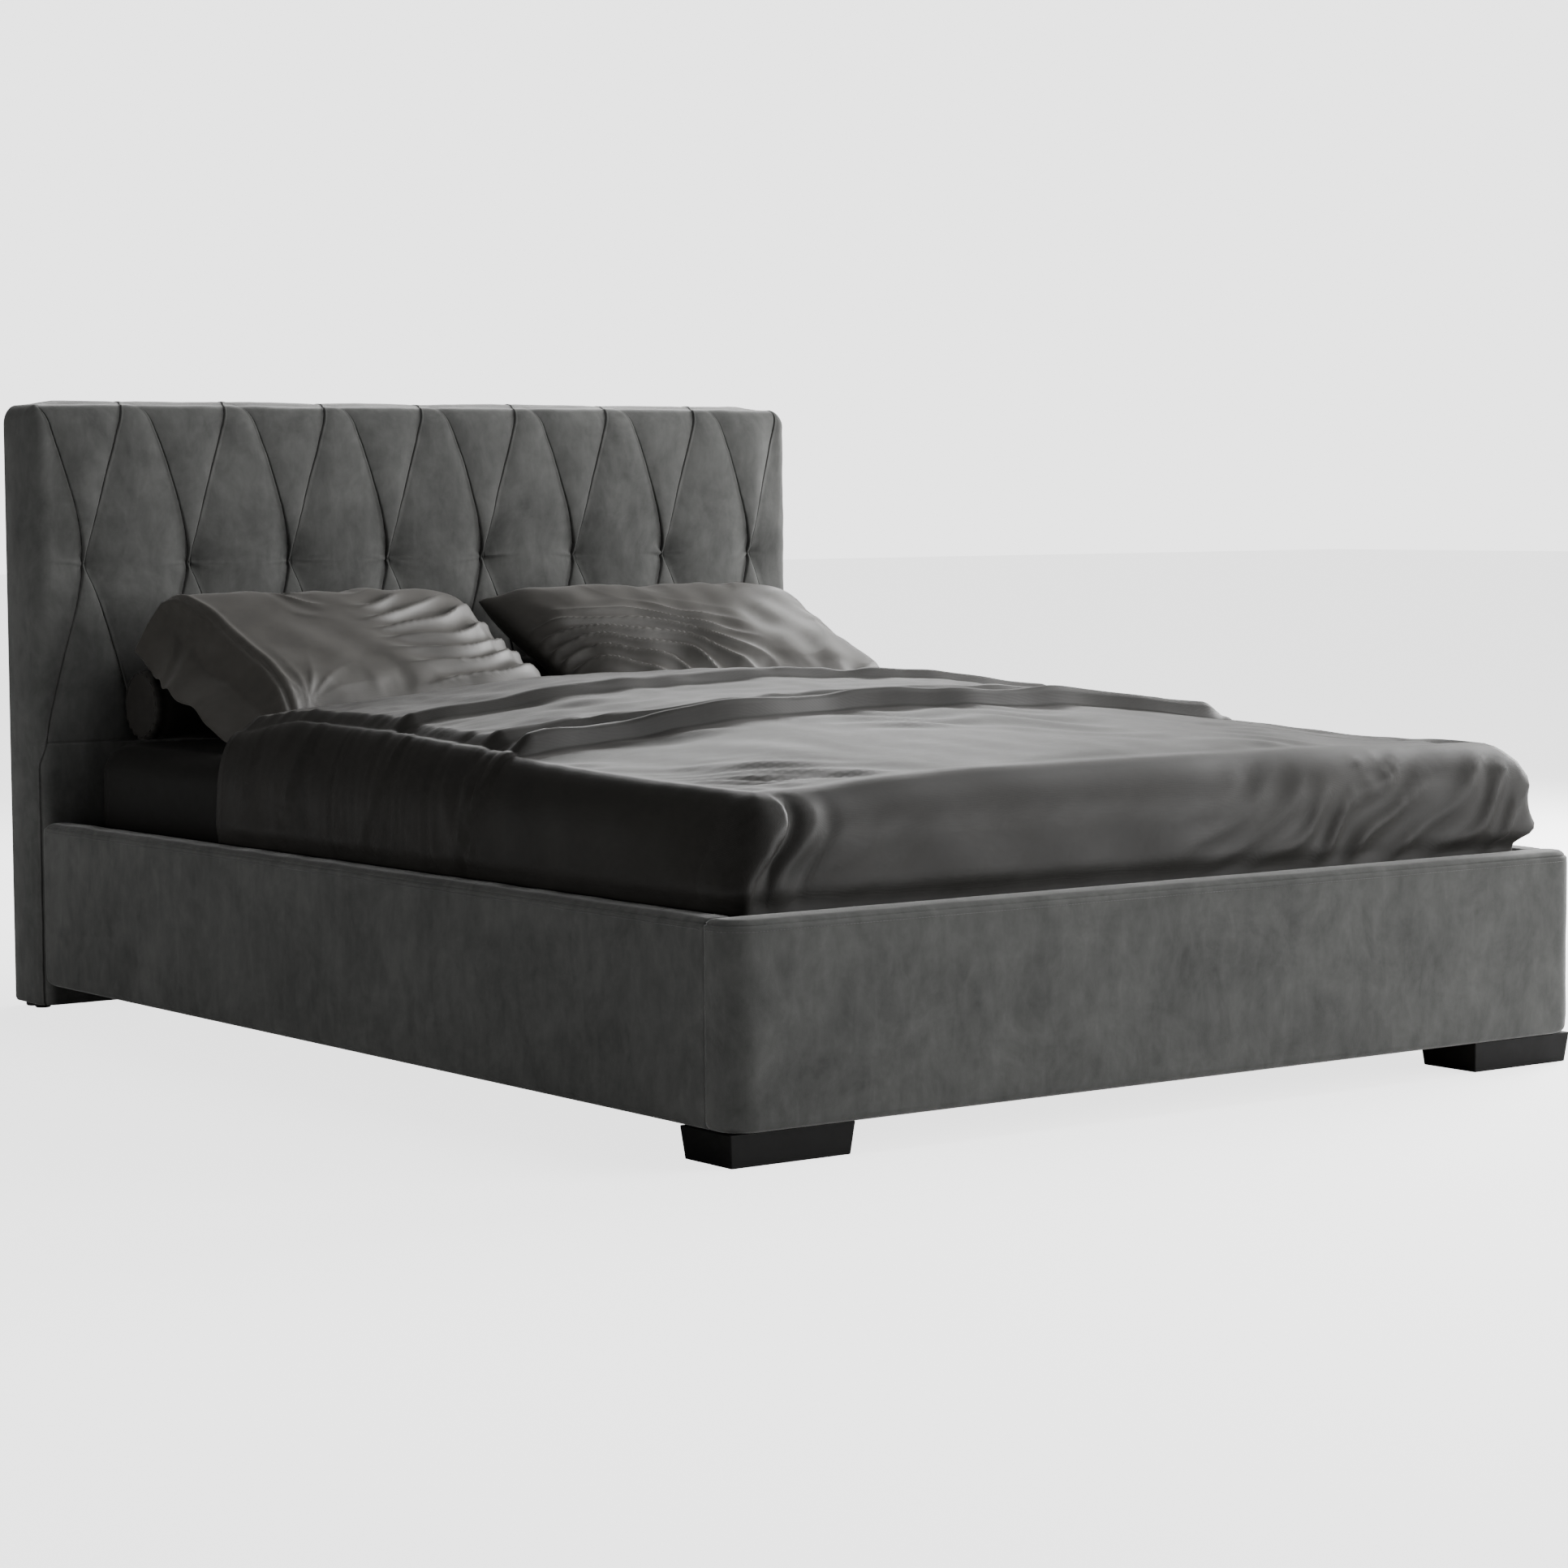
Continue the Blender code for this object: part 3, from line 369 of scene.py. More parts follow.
def ring_loft(rings, bottom_rows, top_rows, shape_points=None):
    """Closed form from rings of matched front and back points, with a filled bottom and top."""
    rings = np.asarray(rings)
    count, around = rings.shape[:2]
    half = around // 2
    index = np.arange(count * around).reshape(count, around)
    closed = np.concatenate([index, index[:, :1]], axis=1)
    faces = grid_faces(closed)
    points = [rings.reshape(-1, 3)]
    used = count * around
    for ring, rows in ((0, bottom_rows), (count - 1, top_rows)):
        front, back = rings[ring, :half], rings[ring, half:][::-1]
        table = [index[ring, :half]]
        for row in range(1, rows):
            share = row / rows
            points.append(front * (1 - share) + back * share)
            table.append(np.arange(used, used + half))
            used += half
        table.append(index[ring, half:][::-1])
        faces += grid_faces(np.array(table))
    points = np.concatenate(points)
    return (shape_points(points) if shape_points else points), faces


def spread_steps(ends, gap, fine, near):
    """Steps from one end to the other, finer beside each value in near."""
    value, out = ends[0], [ends[0]]
    while value < ends[1] - fine / 2:
        away = min((abs(value - spot) for spot in near), default=1.0)
        value += fine + (gap - fine) * min(1.0, away / (gap * 5))
        out.append(min(value, ends[1]))
    out[-1] = ends[1]
    for spot in near:
        if ends[0] < spot < ends[1]:
            out[int(np.argmin([abs(item - spot) for item in out]))] = spot
    return np.array(sorted(set(out)))


# ---- headboard ----

PAD_LOW, PAD_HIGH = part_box("headboard_upper_pad")
LOWER_LOW, LOWER_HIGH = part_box("headboard_lower_pad")
HEAD_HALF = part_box("headboard_side_border_right")[1].x
TUFTS = sorted(sum((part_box("tuft_tie_%d" % (n + 1))[i].x for i in (0, 1)), 0.0) / 2 for n in range(8))
TUFT_Z = sum(corner.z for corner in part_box("tuft_tie_1")) / 2
HALF_PITCH = (TUFTS[-1] - TUFTS[0]) / (len(TUFTS) - 1) / 2
FRONT = PAD_LOW.y
BACK = PAD_HIGH.y + 0.0025
SEAM_Z = PAD_LOW.z
SIDE_ROUND, FRONT_ROUND, TOP_ROUND, BACK_ROUND = 0.025, 0.035, 0.035, 0.012
ROLL_ROWS, BACK_STEPS = 10, 6
CORE = HEAD_HALF - SIDE_ROUND
CORNER_RUN = math.pi / 2 * math.sqrt((SIDE_ROUND ** 2 + FRONT_ROUND ** 2) / 2)
TOP_BASE = PAD_HIGH.z - 0.009
ROLL_START = TOP_BASE - TOP_ROUND
ROLL_RUN = math.pi / 2 * TOP_ROUND
CREST_SEAM = 0.0350
PAD_PROUD = 0.0110
JOIN_V = ROLL_START + ROLL_RUN + CREST_SEAM
END_UP, END_DOWN, SIDE_SEAM = 0.092, 0.086, CORE + CORNER_RUN * 0.56


def share_of_way(v):
    """0 at the row of tufts, 1 where the seams meet again above or below, and which way."""
    up = v >= TUFT_Z
    return np.where(up, (v - TUFT_Z) / (JOIN_V - TUFT_Z), (TUFT_Z - v) / (TUFT_Z - SEAM_Z)), up


def seam_reach(v):
    """How far each seam stands from its tuft, as a share of half the pitch, and at the end tufts in metres."""
    way, up = share_of_way(v)
    way = np.clip(way, 0, 1)
    curve = np.where(up, way ** 1.28, (way ** 2 / (way + 0.03)) ** 0.92)
    reach = np.clip(curve, 0.03, 0.97)
    low = np.clip((SEAM_Z - v) / 0.045, 0, 1)
    end_down = END_DOWN * curve * (1 - smooth(low)) + (SIDE_SEAM - TUFTS[-1]) * smooth(low)
    return reach, np.maximum(np.where(up, END_UP * curve, end_down), 0.003)


def headboard_depth(a, v, base):
    """How deep the padded surface lies under its outer form, for a place across and up the unrolled cover."""
    reach, end = seam_reach(v)
    nearest = np.argmin(np.abs(a[..., None] - np.array(TUFTS)), axis=-1)
    offset = a - np.array(TUFTS)[nearest]
    at_end = ((nearest == 0) & (offset < 0)) | ((nearest == len(TUFTS) - 1) & (offset > 0))
    away = np.abs(offset)
    seam = np.where(at_end, end, reach * HALF_PITCH)
    low = v < SEAM_Z
    edge = np.where(low, np.abs(np.abs(a) - (TUFTS[-1] + end)), np.abs(away - seam))
    width = np.where(away < seam, seam, np.where(at_end, 0.06, HALF_PITCH - seam))
    width = np.where(low, 0.06, np.maximum(width, 0.003))
    arch = 1 - (1 - np.clip(edge / np.minimum(width, 0.060), 0, 1)) ** 2.4
    rise = v - TUFT_Z
    fade = 1 - smooth((v - JOIN_V) / 0.02)
    roll = 1 - 0.75 * smooth((v - ROLL_START - 0.3 * ROLL_RUN) / (ROLL_RUN * 0.7))
    swollen = smooth((v - SEAM_Z) / 0.16) * smooth((ROLL_START + ROLL_RUN - v) / 0.12) \
        * smooth((CORE - np.abs(a)) / 0.07)
    narrow = np.clip(width / 0.045, 0.3, 1)
    sunk = (0.0050 + 0.0030 * np.exp(-(rise / 0.060) ** 2)) * narrow * roll * fade
    depth = np.where(low, 0.0016 * (1 - arch), sunk * (1 - arch) - PAD_PROUD * swollen)
    pull = np.hypot(offset, rise)
    depth = depth + ~low * (0.0060 * np.exp(-pull / 0.009) + 0.0150 * np.clip(1 - pull / 0.105, 0, 1) ** 2.2)
    depth = depth + (GROOVE * np.exp(-(edge / 0.0009) ** 2)
                     - 0.0011 * np.exp(-((edge - 0.0022) / 0.0012) ** 2) * np.where(away > seam, 1.0, 0.1)) * fade * roll
    across = 1 - smooth((np.abs(a) - (TUFTS[-1] + end)) / 0.003)
    level = np.abs(v - SEAM_Z)
    depth = depth + across * (0.0022 * np.exp(-(level / 0.0013) ** 2) + 0.0014 * np.exp(-level / 0.012))
    depth = depth + 0.0010 * np.exp(-((v - JOIN_V) / 0.0018) ** 2) * (np.abs(a) < CORE)
    picks = np.random.default_rng(41)
    angle = np.arctan2(rise, offset)
    for number, tuft in enumerate(TUFTS):
        near = (nearest == number) & (pull < 0.12)
        for _ in range(10):
            heading = picks.choice([0.0, math.pi]) + picks.normal() * 0.55
            run, height = picks.uniform(0.009, 0.018), picks.uniform(0.0010, 0.0024)
            turn = np.angle(np.exp(1j * (angle - heading)))
            crease = np.exp(-(turn * pull / 0.0030) ** 2) * (pull / run) * np.exp(1 - pull / run)
            depth = depth - near * (np.abs(turn) < 1.2) * height * crease
    return depth + 0.0008 * waves(base, 0.14, 5) + 0.0004 * waves(base, 0.045, 6)


def beside_seam(width, count):
    """Distances from a seam out to a width, close together next to the seam."""
    near = np.array([0.0006, 0.0014, 0.0024, 0.0042]) * min(1.0, width / 0.014)
    share = (np.arange(1, count - 3) / (count - 4)) ** 1.25
    return np.concatenate([near, near[-1] + (width - near[-1]) * share])


def front_row(v):
    """The cover's columns across the front for one row, gathered beside every seam."""
    reach, end = (float(item) for item in seam_reach(np.array(v)))
    limit = CORE + CORNER_RUN
    rows = []
    for number, tuft in enumerate(TUFTS):
        left_seam = end if number == 0 else reach * HALF_PITCH
        right_seam = end if number == len(TUFTS) - 1 else reach * HALF_PITCH
        left_span = limit + tuft if number == 0 else HALF_PITCH
        right_span = limit - tuft if number == len(TUFTS) - 1 else HALF_PITCH
        sides = []
        for seam, span in ((left_seam, left_span), (right_seam, right_span)):
            inner = seam - beside_seam(seam, 9)[::-1]
            sides.append(np.concatenate([inner[1:], [seam], seam + beside_seam(span - seam, 11)]))
        left, right = sides
        if number:
            left = left[:-1]
        rows.append(np.concatenate([tuft - left[::-1], [tuft], tuft + right]))
    columns = np.concatenate(rows)
    seam_columns = np.array([11, len(columns) - 12])
    relax = float(smooth((SEAM_Z - v) / 0.07))
    if relax > 0:
        first, last = seam_columns
        even = columns.copy()
        even[first:last + 1] = np.linspace(columns[first], columns[last], last - first + 1)
        columns = columns * (1 - relax) + even * relax
    return columns


def headboard_surface(a, v, back_turn=None, back_run=None):
    """Outer form at a place on the unrolled belt: point and outward direction."""
    side, reach = np.sign(a + 1e-12), np.abs(a)
    turn = np.clip((reach - CORE) / CORNER_RUN, 0, 1) * math.pi / 2
    core_y = FRONT + FRONT_ROUND + np.clip(reach - CORE - CORNER_RUN, 0, None)
    radius_y = np.full_like(a, FRONT_ROUND)
    if back_turn is not None:
        turn = turn + back_turn
        radius_y = np.where(turn > math.pi / 2 + 1e-9, BACK_ROUND, FRONT_ROUND)
    tilt = np.clip((v - ROLL_START) / ROLL_RUN, 0, 1) * math.pi / 2
    core = np.stack([side * np.minimum(reach, CORE), core_y, np.minimum(v, ROLL_START)], axis=-1)
    heading = np.stack([side * np.sin(turn) * np.cos(tilt), -np.cos(turn) * np.cos(tilt), np.sin(tilt)], axis=-1)
    radii = np.stack([np.full_like(a, SIDE_ROUND), radius_y, np.full_like(a, TOP_ROUND)], axis=-1)
    outward = heading / radii
    outward /= np.linalg.norm(outward, axis=-1, keepdims=True)
    return core + heading * radii, outward


def headboard_rows(bottom):
    """Heights up the unrolled cover, closer beside the seam and the row of tufts."""
    return np.concatenate([
        [bottom, bottom + 0.002, bottom + 0.006, bottom + 0.014],
        spread_steps((bottom + 0.03, SEAM_Z), 0.013, 0.0013, [SEAM_Z]),
        spread_steps((SEAM_Z, TUFT_Z), 0.0075, 0.0013, [SEAM_Z, TUFT_Z])[1:],
        spread_steps((TUFT_Z, ROLL_START), 0.0075, 0.0015, [TUFT_Z])[1:],
        ROLL_START + ROLL_RUN * np.arange(1, ROLL_ROWS + 1) / ROLL_ROWS,
    ])


def side_steps():
    """Places from front to back on the flat sides and the top, closer beside the crest seam."""
    crest = FRONT + FRONT_ROUND + CREST_SEAM
    return np.concatenate([
        spread_steps((FRONT + FRONT_ROUND, crest), 0.006, 0.0015, [crest]),
        spread_steps((crest, BACK - BACK_ROUND), 0.006, 0.0015, [crest])[1:],
    ])[1:]


def headboard_belt(rows, side_y):
    """The cover round the front, the sides and the back edges: places across it, and points."""
    bottom = rows[0]
    turns = np.arange(1, BACK_STEPS + 1) / BACK_STEPS * math.pi / 2
    side_a = CORE + CORNER_RUN + side_y - FRONT - FRONT_ROUND
    back_a, flat = np.full(BACK_STEPS, side_a[-1]), np.zeros(len(side_y))
    belt_a, belt_turn = [], []
    for v in rows:
        front = front_row(v)
        belt_a.append(np.concatenate([-back_a, -side_a[::-1], front, side_a, back_a]))
        belt_turn.append(np.concatenate([turns[::-1], flat, np.zeros(len(front)), flat, turns]))
    a, turn = np.array(belt_a), np.array(belt_turn)
    v = np.repeat(rows[:, None], a.shape[1], axis=1)
    base, outward = headboard_surface(a, v, turn)
    depth = headboard_depth(a, v, base) * (np.abs(a) < CORE + CORNER_RUN)
    depth *= 1 - smooth((np.abs(a) - CORE) / CORNER_RUN) * smooth((v - ROLL_START) / ROLL_RUN)
    puff = -0.0030 * np.sin(np.clip((np.abs(a) - CORE - CORNER_RUN) / 0.078, 0, 1) * math.pi)
    depth = depth + puff * smooth((ROLL_START + 0.01 - v) / 0.06) * smooth((v - bottom) / 0.06)
    under = np.clip(1 - (v - bottom) / 0.006, 0, 1) ** 2 * 0.004
    belt = base - outward * (depth + under)[..., None]
    belt[..., 2] = np.where(v <= bottom + 1e-9, bottom, belt[..., 2])
    return a, belt


def headboard_cap(side_y, front_count):
    """The cover over the top and down the round of the back edge."""
    def across(values):
        return np.repeat(values[:, None], front_count, axis=1)

    crown_y = np.concatenate([[FRONT + FRONT_ROUND], side_y])
    top_v = ROLL_START + ROLL_RUN + crown_y - FRONT - FRONT_ROUND
    top_a = np.array([np.clip(front_row(min(item, JOIN_V)), -CORE, CORE) for item in top_v])
    top = np.stack([top_a, across(crown_y), np.full_like(top_a, TOP_BASE)], axis=-1)
    along = (crown_y - crown_y[0]) / (crown_y[-1] - crown_y[0])
    lift = (0.0075 * np.sin(along * math.pi))[:, None] * smooth((CORE - np.abs(top_a)) / 0.06)
    depth = headboard_depth(top_a, across(top_v), top) * smooth((CORE - np.abs(top_a)) / 0.012)
    top[..., 2] += lift - depth
    angles = np.arange(1, ROLL_ROWS + 1) / ROLL_ROWS * math.pi / 2
    back_roll = np.stack([
        np.repeat(top_a[-1:], ROLL_ROWS, axis=0),
        across(BACK - BACK_ROUND + BACK_ROUND * np.sin(angles)),
        across(ROLL_START + TOP_ROUND * np.cos(angles)),
    ], axis=-1)
    return np.concatenate([top, back_roll])


def pocket_rings(outer, bottom):
    """The rim turned in round the edge of the frame, and the pocket that the frame stands in."""
    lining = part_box("headboard_back_lining")[1]
    pocket_x, lining_y, pocket_z = lining.x + SKIN, lining.y + SKIN, lining.z + SKIN
    pocket_y = LOWER_HIGH.y
    at_back = (outer[:, 1] > BACK - 1e-4) & (outer[:, 2] > bottom + 1e-6)
    on_edge = np.abs(outer[:, 0]) > CORE - 1e-4
    on_top = at_back & (outer[:, 2] > ROLL_START - 1e-6)
    first = outer.copy()
    first[at_back, 1] = lining_y
    first[~at_back, 1] = np.minimum(first[~at_back, 1], lining_y)
    second = first.copy()
    second[on_top, 2] = pocket_z
    on_side = (at_back & ~on_top & on_edge)
    second[on_side, 0] = np.sign(second[on_side, 0]) * pocket_x
    second[~at_back, 0] = np.clip(second[~at_back, 0], -pocket_x, pocket_x)
    beyond = ~at_back & (np.abs(outer[:, 0]) >= CORE - 1e-4) & (outer[:, 1] > pocket_y)
    second[beyond, 0] = np.sign(outer[beyond, 0]) * pocket_x
    second[~at_back, 1] = np.maximum(second[~at_back, 1], pocket_y)
    corner = on_top & on_edge
    second[corner, 0] = np.sign(second[corner, 0]) * pocket_x
    third = second.copy()
    third[:, 1] = pocket_y
    return first, second, third


def build_headboard():
    rows, side_y = headboard_rows(LOWER_LOW.z), side_steps()
    a, belt = headboard_belt(rows, side_y)
    top_rows = len(side_y)
    start = BACK_STEPS + top_rows
    front_count = a.shape[1] - 2 * start
    cap = headboard_cap(side_y, front_count)
    index = np.arange(a.size).reshape(a.shape)
    points = [belt.reshape(-1, 3)]
    table = np.zeros((len(cap), front_count), int)
    table[0] = index[-1, start:start + front_count]
    used = index.size
    for row in range(1, len(cap)):
        inner = np.arange(used, used + front_count - 2)
        used += front_count - 2
        points.append(cap[row, 1:-1])
        if row <= top_rows:
            left, right = index[-1, start - row], index[-1, start + front_count + row - 1]
        else:
            down = row - top_rows
            left, right = index[-1 - down, 0], index[-1 - down, -1]
        table[row] = np.concatenate([[left], inner, [right]])
    faces = grid_faces(index) + grid_faces(table)
    points = np.concatenate(points)
    side_rows = len(rows) - ROLL_ROWS
    loop = np.concatenate([
        index[0, ::-1], index[1:side_rows, 0], table[-1, 1:], index[1:side_rows - 1, -1][::-1],
    ])
    last = loop
    for ring in pocket_rings(points[loop], rows[0]):
        fresh = np.arange(used, used + len(loop))
        used += len(loop)
        points = np.concatenate([points, ring])
        faces += grid_faces(np.stack([np.append(last, last[0]), np.append(fresh, fresh[0])]))
        last = fresh
    faces.append(last.tolist())
    cover = make_piece("headboard_cover", points, faces, VELVET, "bed_frame", [
        "headboard_upper_pad", "headboard_lower_pad", "headboard_side_border_left", "headboard_side_border_right",
    ])


# ---- rails and foot panel ----

FOOT_LOW, FOOT_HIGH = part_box("foot_panel_cover")
RAIL_EDGE = 0.013
SEAM_DROP, STITCH_DROP = 0.0065, 0.0145


def edge_inset(z, low, high, radius):
    """How far an edge rounds in at a height."""
    away = np.minimum(z - low, high - z)
    return radius - math.sqrt(max(0.0, radius ** 2 - max(0.0, radius - away) ** 2))


def panel_heights(low, high, radius):
    quarter = radius * (1 - np.cos(np.arange(0, 7) / 6 * math.pi / 2))
    seam = high - SEAM_DROP
    middle = spread_steps((low + radius, high - radius), 0.016, 0.0016, [])
    lines = [seam + step for step in (-0.006, -0.004, -0.0024, -0.0014, -0.0007, 0, 0.0007, 0.0014, 0.0024)]
    return np.array(sorted(set(np.round(np.concatenate([low + quarter, middle, high - quarter, lines]), 6))))


def line_groove(z, high):
    """A sewn line along the top edge, with the strip above it standing proud like piping."""
    gap = z - (high - SEAM_DROP)
    return 0.0016 * math.exp(-(gap / 0.0010) ** 2) - 0.0007 * math.exp(-((gap + 0.0035) / 0.0022) ** 2)


def swell(points, amount, seed):
    """Gives flat faces the slight unevenness of fabric over wadding."""
    return amount * (waves(points, 0.22, seed) + 0.45 * waves(points, 0.07, seed + 1))


def build_rail(side, word):
    low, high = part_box("side_rail_cover_" + word)
    outer, inner = (high.x, low.x) if side > 0 else (low.x, high.x)
    board_low, board_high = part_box("side_rail_board_" + word)
    ys = spread_steps((low.y, high.y), 0.014, 0.0016, [low.y, high.y])
    share = (ys - ys[0]) / (ys[-1] - ys[0])
    rings = []
    pocket_x = (board_low.x - SKIN, board_high.x + SKIN)
    pocket_y = (board_low.y - SKIN, board_high.y + SKIN)
    pocket = [(board_high.z + SKIN), low.z]
    near = pocket_x[1] if side > 0 else pocket_x[0]
    far = pocket_x[0] if side > 0 else pocket_x[1]
    for z in pocket:
        line = pocket_y[0] + share * (pocket_y[1] - pocket_y[0])
        front = np.stack([np.full_like(line, near), line, np.full_like(line, z)], axis=1)
        back = np.stack([np.full_like(line, far), line, np.full_like(line, z)], axis=1)[::-1]
        rings.append(np.concatenate([front, back]))
    for z in panel_heights(low.z, high.z, RAIL_EDGE):
        inset = edge_inset(z, low.z, high.z, RAIL_EDGE)
        head = edge_inset(z, low.z, high.z, 0.022)
        foot = edge_inset(z, low.z, high.z, 0.004)
        line = (low.y + foot) + share * (high.y - head - low.y - foot)
        ends = np.minimum(line - line[0], line[-1] - line)
        round_end = 0.006 * (1 - np.sqrt(1 - np.clip(1 - ends / 0.006, 0, 1) ** 2))
        face = np.stack([np.full_like(line, outer), line, np.full_like(line, z)], axis=1)
        calm = smooth((z - low.z) / 0.03) * smooth((high.z - z) / 0.02) * smooth(ends / 0.03)
        depth = inset + round_end + line_groove(z, high.z) - swell(face, 0.0007, 11) * calm - 0.0010 * calm
        front = face.copy()
        front[:, 0] -= side * depth
        back = face.copy()
        back[:, 0] = inner + side * (inset + round_end * 0.5)
        rings.append(np.concatenate([front, back[::-1]]))

    def crowned(points):
        top = smooth((points[:, 2] - high.z + 0.004) / 0.004)
        middle = 1 - np.clip(np.abs(points[:, 0] - (outer + inner) / 2) / (abs(outer - inner) / 2), 0, 1) ** 2
        ends = np.clip(np.minimum(points[:, 1] - low.y, high.y - points[:, 1]) / 0.02, 0, 1)
        points[:, 2] += top * middle * ends * (0.0016 + 0.0006 * waves(points, 0.12, 15))
        return points

    points, faces = ring_loft(rings, 1, 7, crowned)
    cover = make_piece("side_rail_padded_cover_" + word, points, faces, VELVET, "bed_frame",
                       ["side_rail_cover_" + word])
    z = high.z - STITCH_DROP
    path = [(outer + side * 0.0014, y, z) for y in np.arange(low.y + 0.012, high.y - 0.014, 0.02)]
    return path


def foot_outline(inset, corner):
    """The foot panel's plan, left to right along the outside, matched by the inside line."""
    half, face = FOOT_HIGH.x - inset, FOOT_LOW.y + inset
    inner = FOOT_HIGH.y - inset * 0.35
    radius = max(corner - inset, 0.004)
    left = [(-half, inner)] + [(-half, y) for y in np.linspace(inner, face + radius, 5)[1:-1]]
    angles = np.radians(np.linspace(180, 270, 13))
    arc = [(-half + radius + radius * math.cos(angle), face + radius + radius * math.sin(angle)) for angle in angles]
    straight = [(x, face) for x in np.linspace(-half + radius, 0, 62)[1:]]
    front = np.array(left + arc + straight)
    front = np.concatenate([front, (front[:-1] * (-1, 1))[::-1]])
    back = np.stack([front[:, 0], np.full(len(front), inner)], axis=1)
    back[0, 1] -= 0.0001
    back[-1, 1] -= 0.0001
    return front, back[::-1]


def build_foot():
    low, high = FOOT_LOW, FOOT_HIGH
    board_low, board_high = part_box("foot_panel_board")
    corner = 0.045
    rings = []
    for z in (board_high.z + SKIN, low.z):
        front, back = foot_outline(0.0, corner)
        x = np.clip(front[:, 0], board_low.x - SKIN, board_high.x + SKIN)
        rings.append(np.concatenate([
            np.stack([x, np.full_like(x, board_low.y - SKIN), np.full_like(x, z)], axis=1),
            np.stack([x[::-1], np.full_like(x, board_high.y + SKIN), np.full_like(x, z)], axis=1),
        ]))
    for z in panel_heights(low.z, high.z, RAIL_EDGE):
        inset = edge_inset(z, low.z, high.z, RAIL_EDGE)
        calm = float(smooth((z - low.z) / 0.03) * smooth((high.z - z) / 0.02))
        front, back = foot_outline(inset + line_groove(z, high.z) * 0.999, corner)
        ring = np.concatenate([front, back])
        ring = np.concatenate([ring, np.full((len(ring), 1), z)], axis=1)
        outside = np.arange(len(ring)) < len(front)
        push = (swell(ring, 0.0008, 21) + 0.0012) * calm * outside
        push *= np.clip((high.y - ring[:, 1]) / 0.02, 0, 1)
        turned_in = np.clip((np.abs(ring[:, 0]) - (high.x - corner)) / corner, 0, 1)
        heading = np.stack([np.sign(ring[:, 0]) * turned_in, -(1 - turned_in)], axis=1)
        heading /= np.maximum(np.linalg.norm(heading, axis=1, keepdims=True), 1e-6)
        ring[:, :2] += heading * push[:, None]
        rings.append(ring)

    def crowned(points):
        top = smooth((points[:, 2] - high.z + 0.004) / 0.004)
        middle = 1 - np.clip(np.abs(points[:, 1] - (low.y + high.y) / 2) / ((high.y - low.y) / 2), 0, 1) ** 2
        ends = np.clip((high.x - np.abs(points[:, 0])) / 0.03, 0, 1)
        points[:, 2] += top * middle * ends * (0.0018 + 0.0006 * waves(points, 0.12, 25))
        return points

    points, faces = ring_loft(rings, 1, 7, crowned)
    cover = make_piece("foot_panel_padded_cover", points, faces, VELVET, "bed_frame",
                       ["foot_panel_cover"])
    z = high.z - STITCH_DROP
    outline = foot_outline(-0.0014, corner + 0.0014)[0]
    return [(x, y, z) for x, y in outline[1:-1]]


def stitch_tree():
    """Short sewn stitches laid along a line."""
    tree = bpy.data.node_groups.new("row_of_stitches", "GeometryNodeTree")
    face = tree.interface
    face.new_socket(name="Line", in_out="INPUT", socket_type="NodeSocketGeometry")
    for label, value in (("Spacing", 0.0056), ("Stitch Length", 0.0040), ("Thread Radius", 0.00045)):
        face.new_socket(name=label, in_out="INPUT", socket_type="NodeSocketFloat").default_value = value
    face.new_socket(name="Thread", in_out="INPUT", socket_type="NodeSocketMaterial")
    face.new_socket(name="Stitches", in_out="OUTPUT", socket_type="NodeSocketGeometry")
    inlet, outlet = tree.nodes.new("NodeGroupInput"), tree.nodes.new("NodeGroupOutput")
    curve = add(tree, "GeometryNodeMeshToCurve", {"Mesh": inlet.outputs["Line"]})
    even = add(tree, "GeometryNodeResampleCurve", {"Curve": curve.outputs[0], "Length": inlet.outputs["Spacing"]},
               mode="LENGTH")
    thread = add(tree, "GeometryNodeMeshCylinder", {
        "Vertices": 6, "Radius": inlet.outputs["Thread Radius"], "Depth": inlet.outputs["Stitch Length"],
    })
    tangent = add(tree, "GeometryNodeInputTangent")
    turn = add(tree, "FunctionNodeAlignRotationToVector", {"Vector": tangent.outputs[0]}, axis="Z")
    placed = add(tree, "GeometryNodeInstanceOnPoints", {
        "Points": even.outputs[0], "Instance": thread.outputs["Mesh"], "Rotation": turn.outputs[0],
    })
    real = add(tree, "GeometryNodeRealizeInstances", {"Geometry": placed.outputs[0]})
    painted = add(tree, "GeometryNodeSetMaterial", {
        "Geometry": real.outputs[0], "Material": inlet.outputs["Thread"],
    })
    tree.links.new(painted.outputs[0], outlet.inputs["Stitches"])
    return tree


def sew(name, path, tree):
    """Bakes a row of stitches along a path into a plain mesh on the frame."""
    line = bpy.data.meshes.new(name + "_line")
    line.from_pydata([tuple(map(float, point)) for point in path], [(n, n + 1) for n in range(len(path) - 1)], [])
    guide = bpy.data.objects.new(name + "_guide", line)
    bpy.context.scene.collection.objects.link(guide)
    modifier = guide.modifiers.new("stitches", "NODES")
    modifier.node_group = tree
    sockets = {item.name: item.identifier for item in tree.interface.items_tree if item.in_out == "INPUT"}
    modifier[sockets["Thread"]] = TWINE
    bpy.context.view_layer.update()
    graph = bpy.context.evaluated_depsgraph_get()
    mesh = bpy.data.meshes.new_from_object(guide.evaluated_get(graph))
    bpy.data.objects.remove(guide)
    piece = bpy.data.objects.new(name, mesh)
    bpy.context.scene.collection.objects.link(piece)
    attach(piece, "bed_frame")


# ---- bedding ----

BED_LOW, BED_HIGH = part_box("mattress")
COVER_LOW, COVER_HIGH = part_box("coverlet")


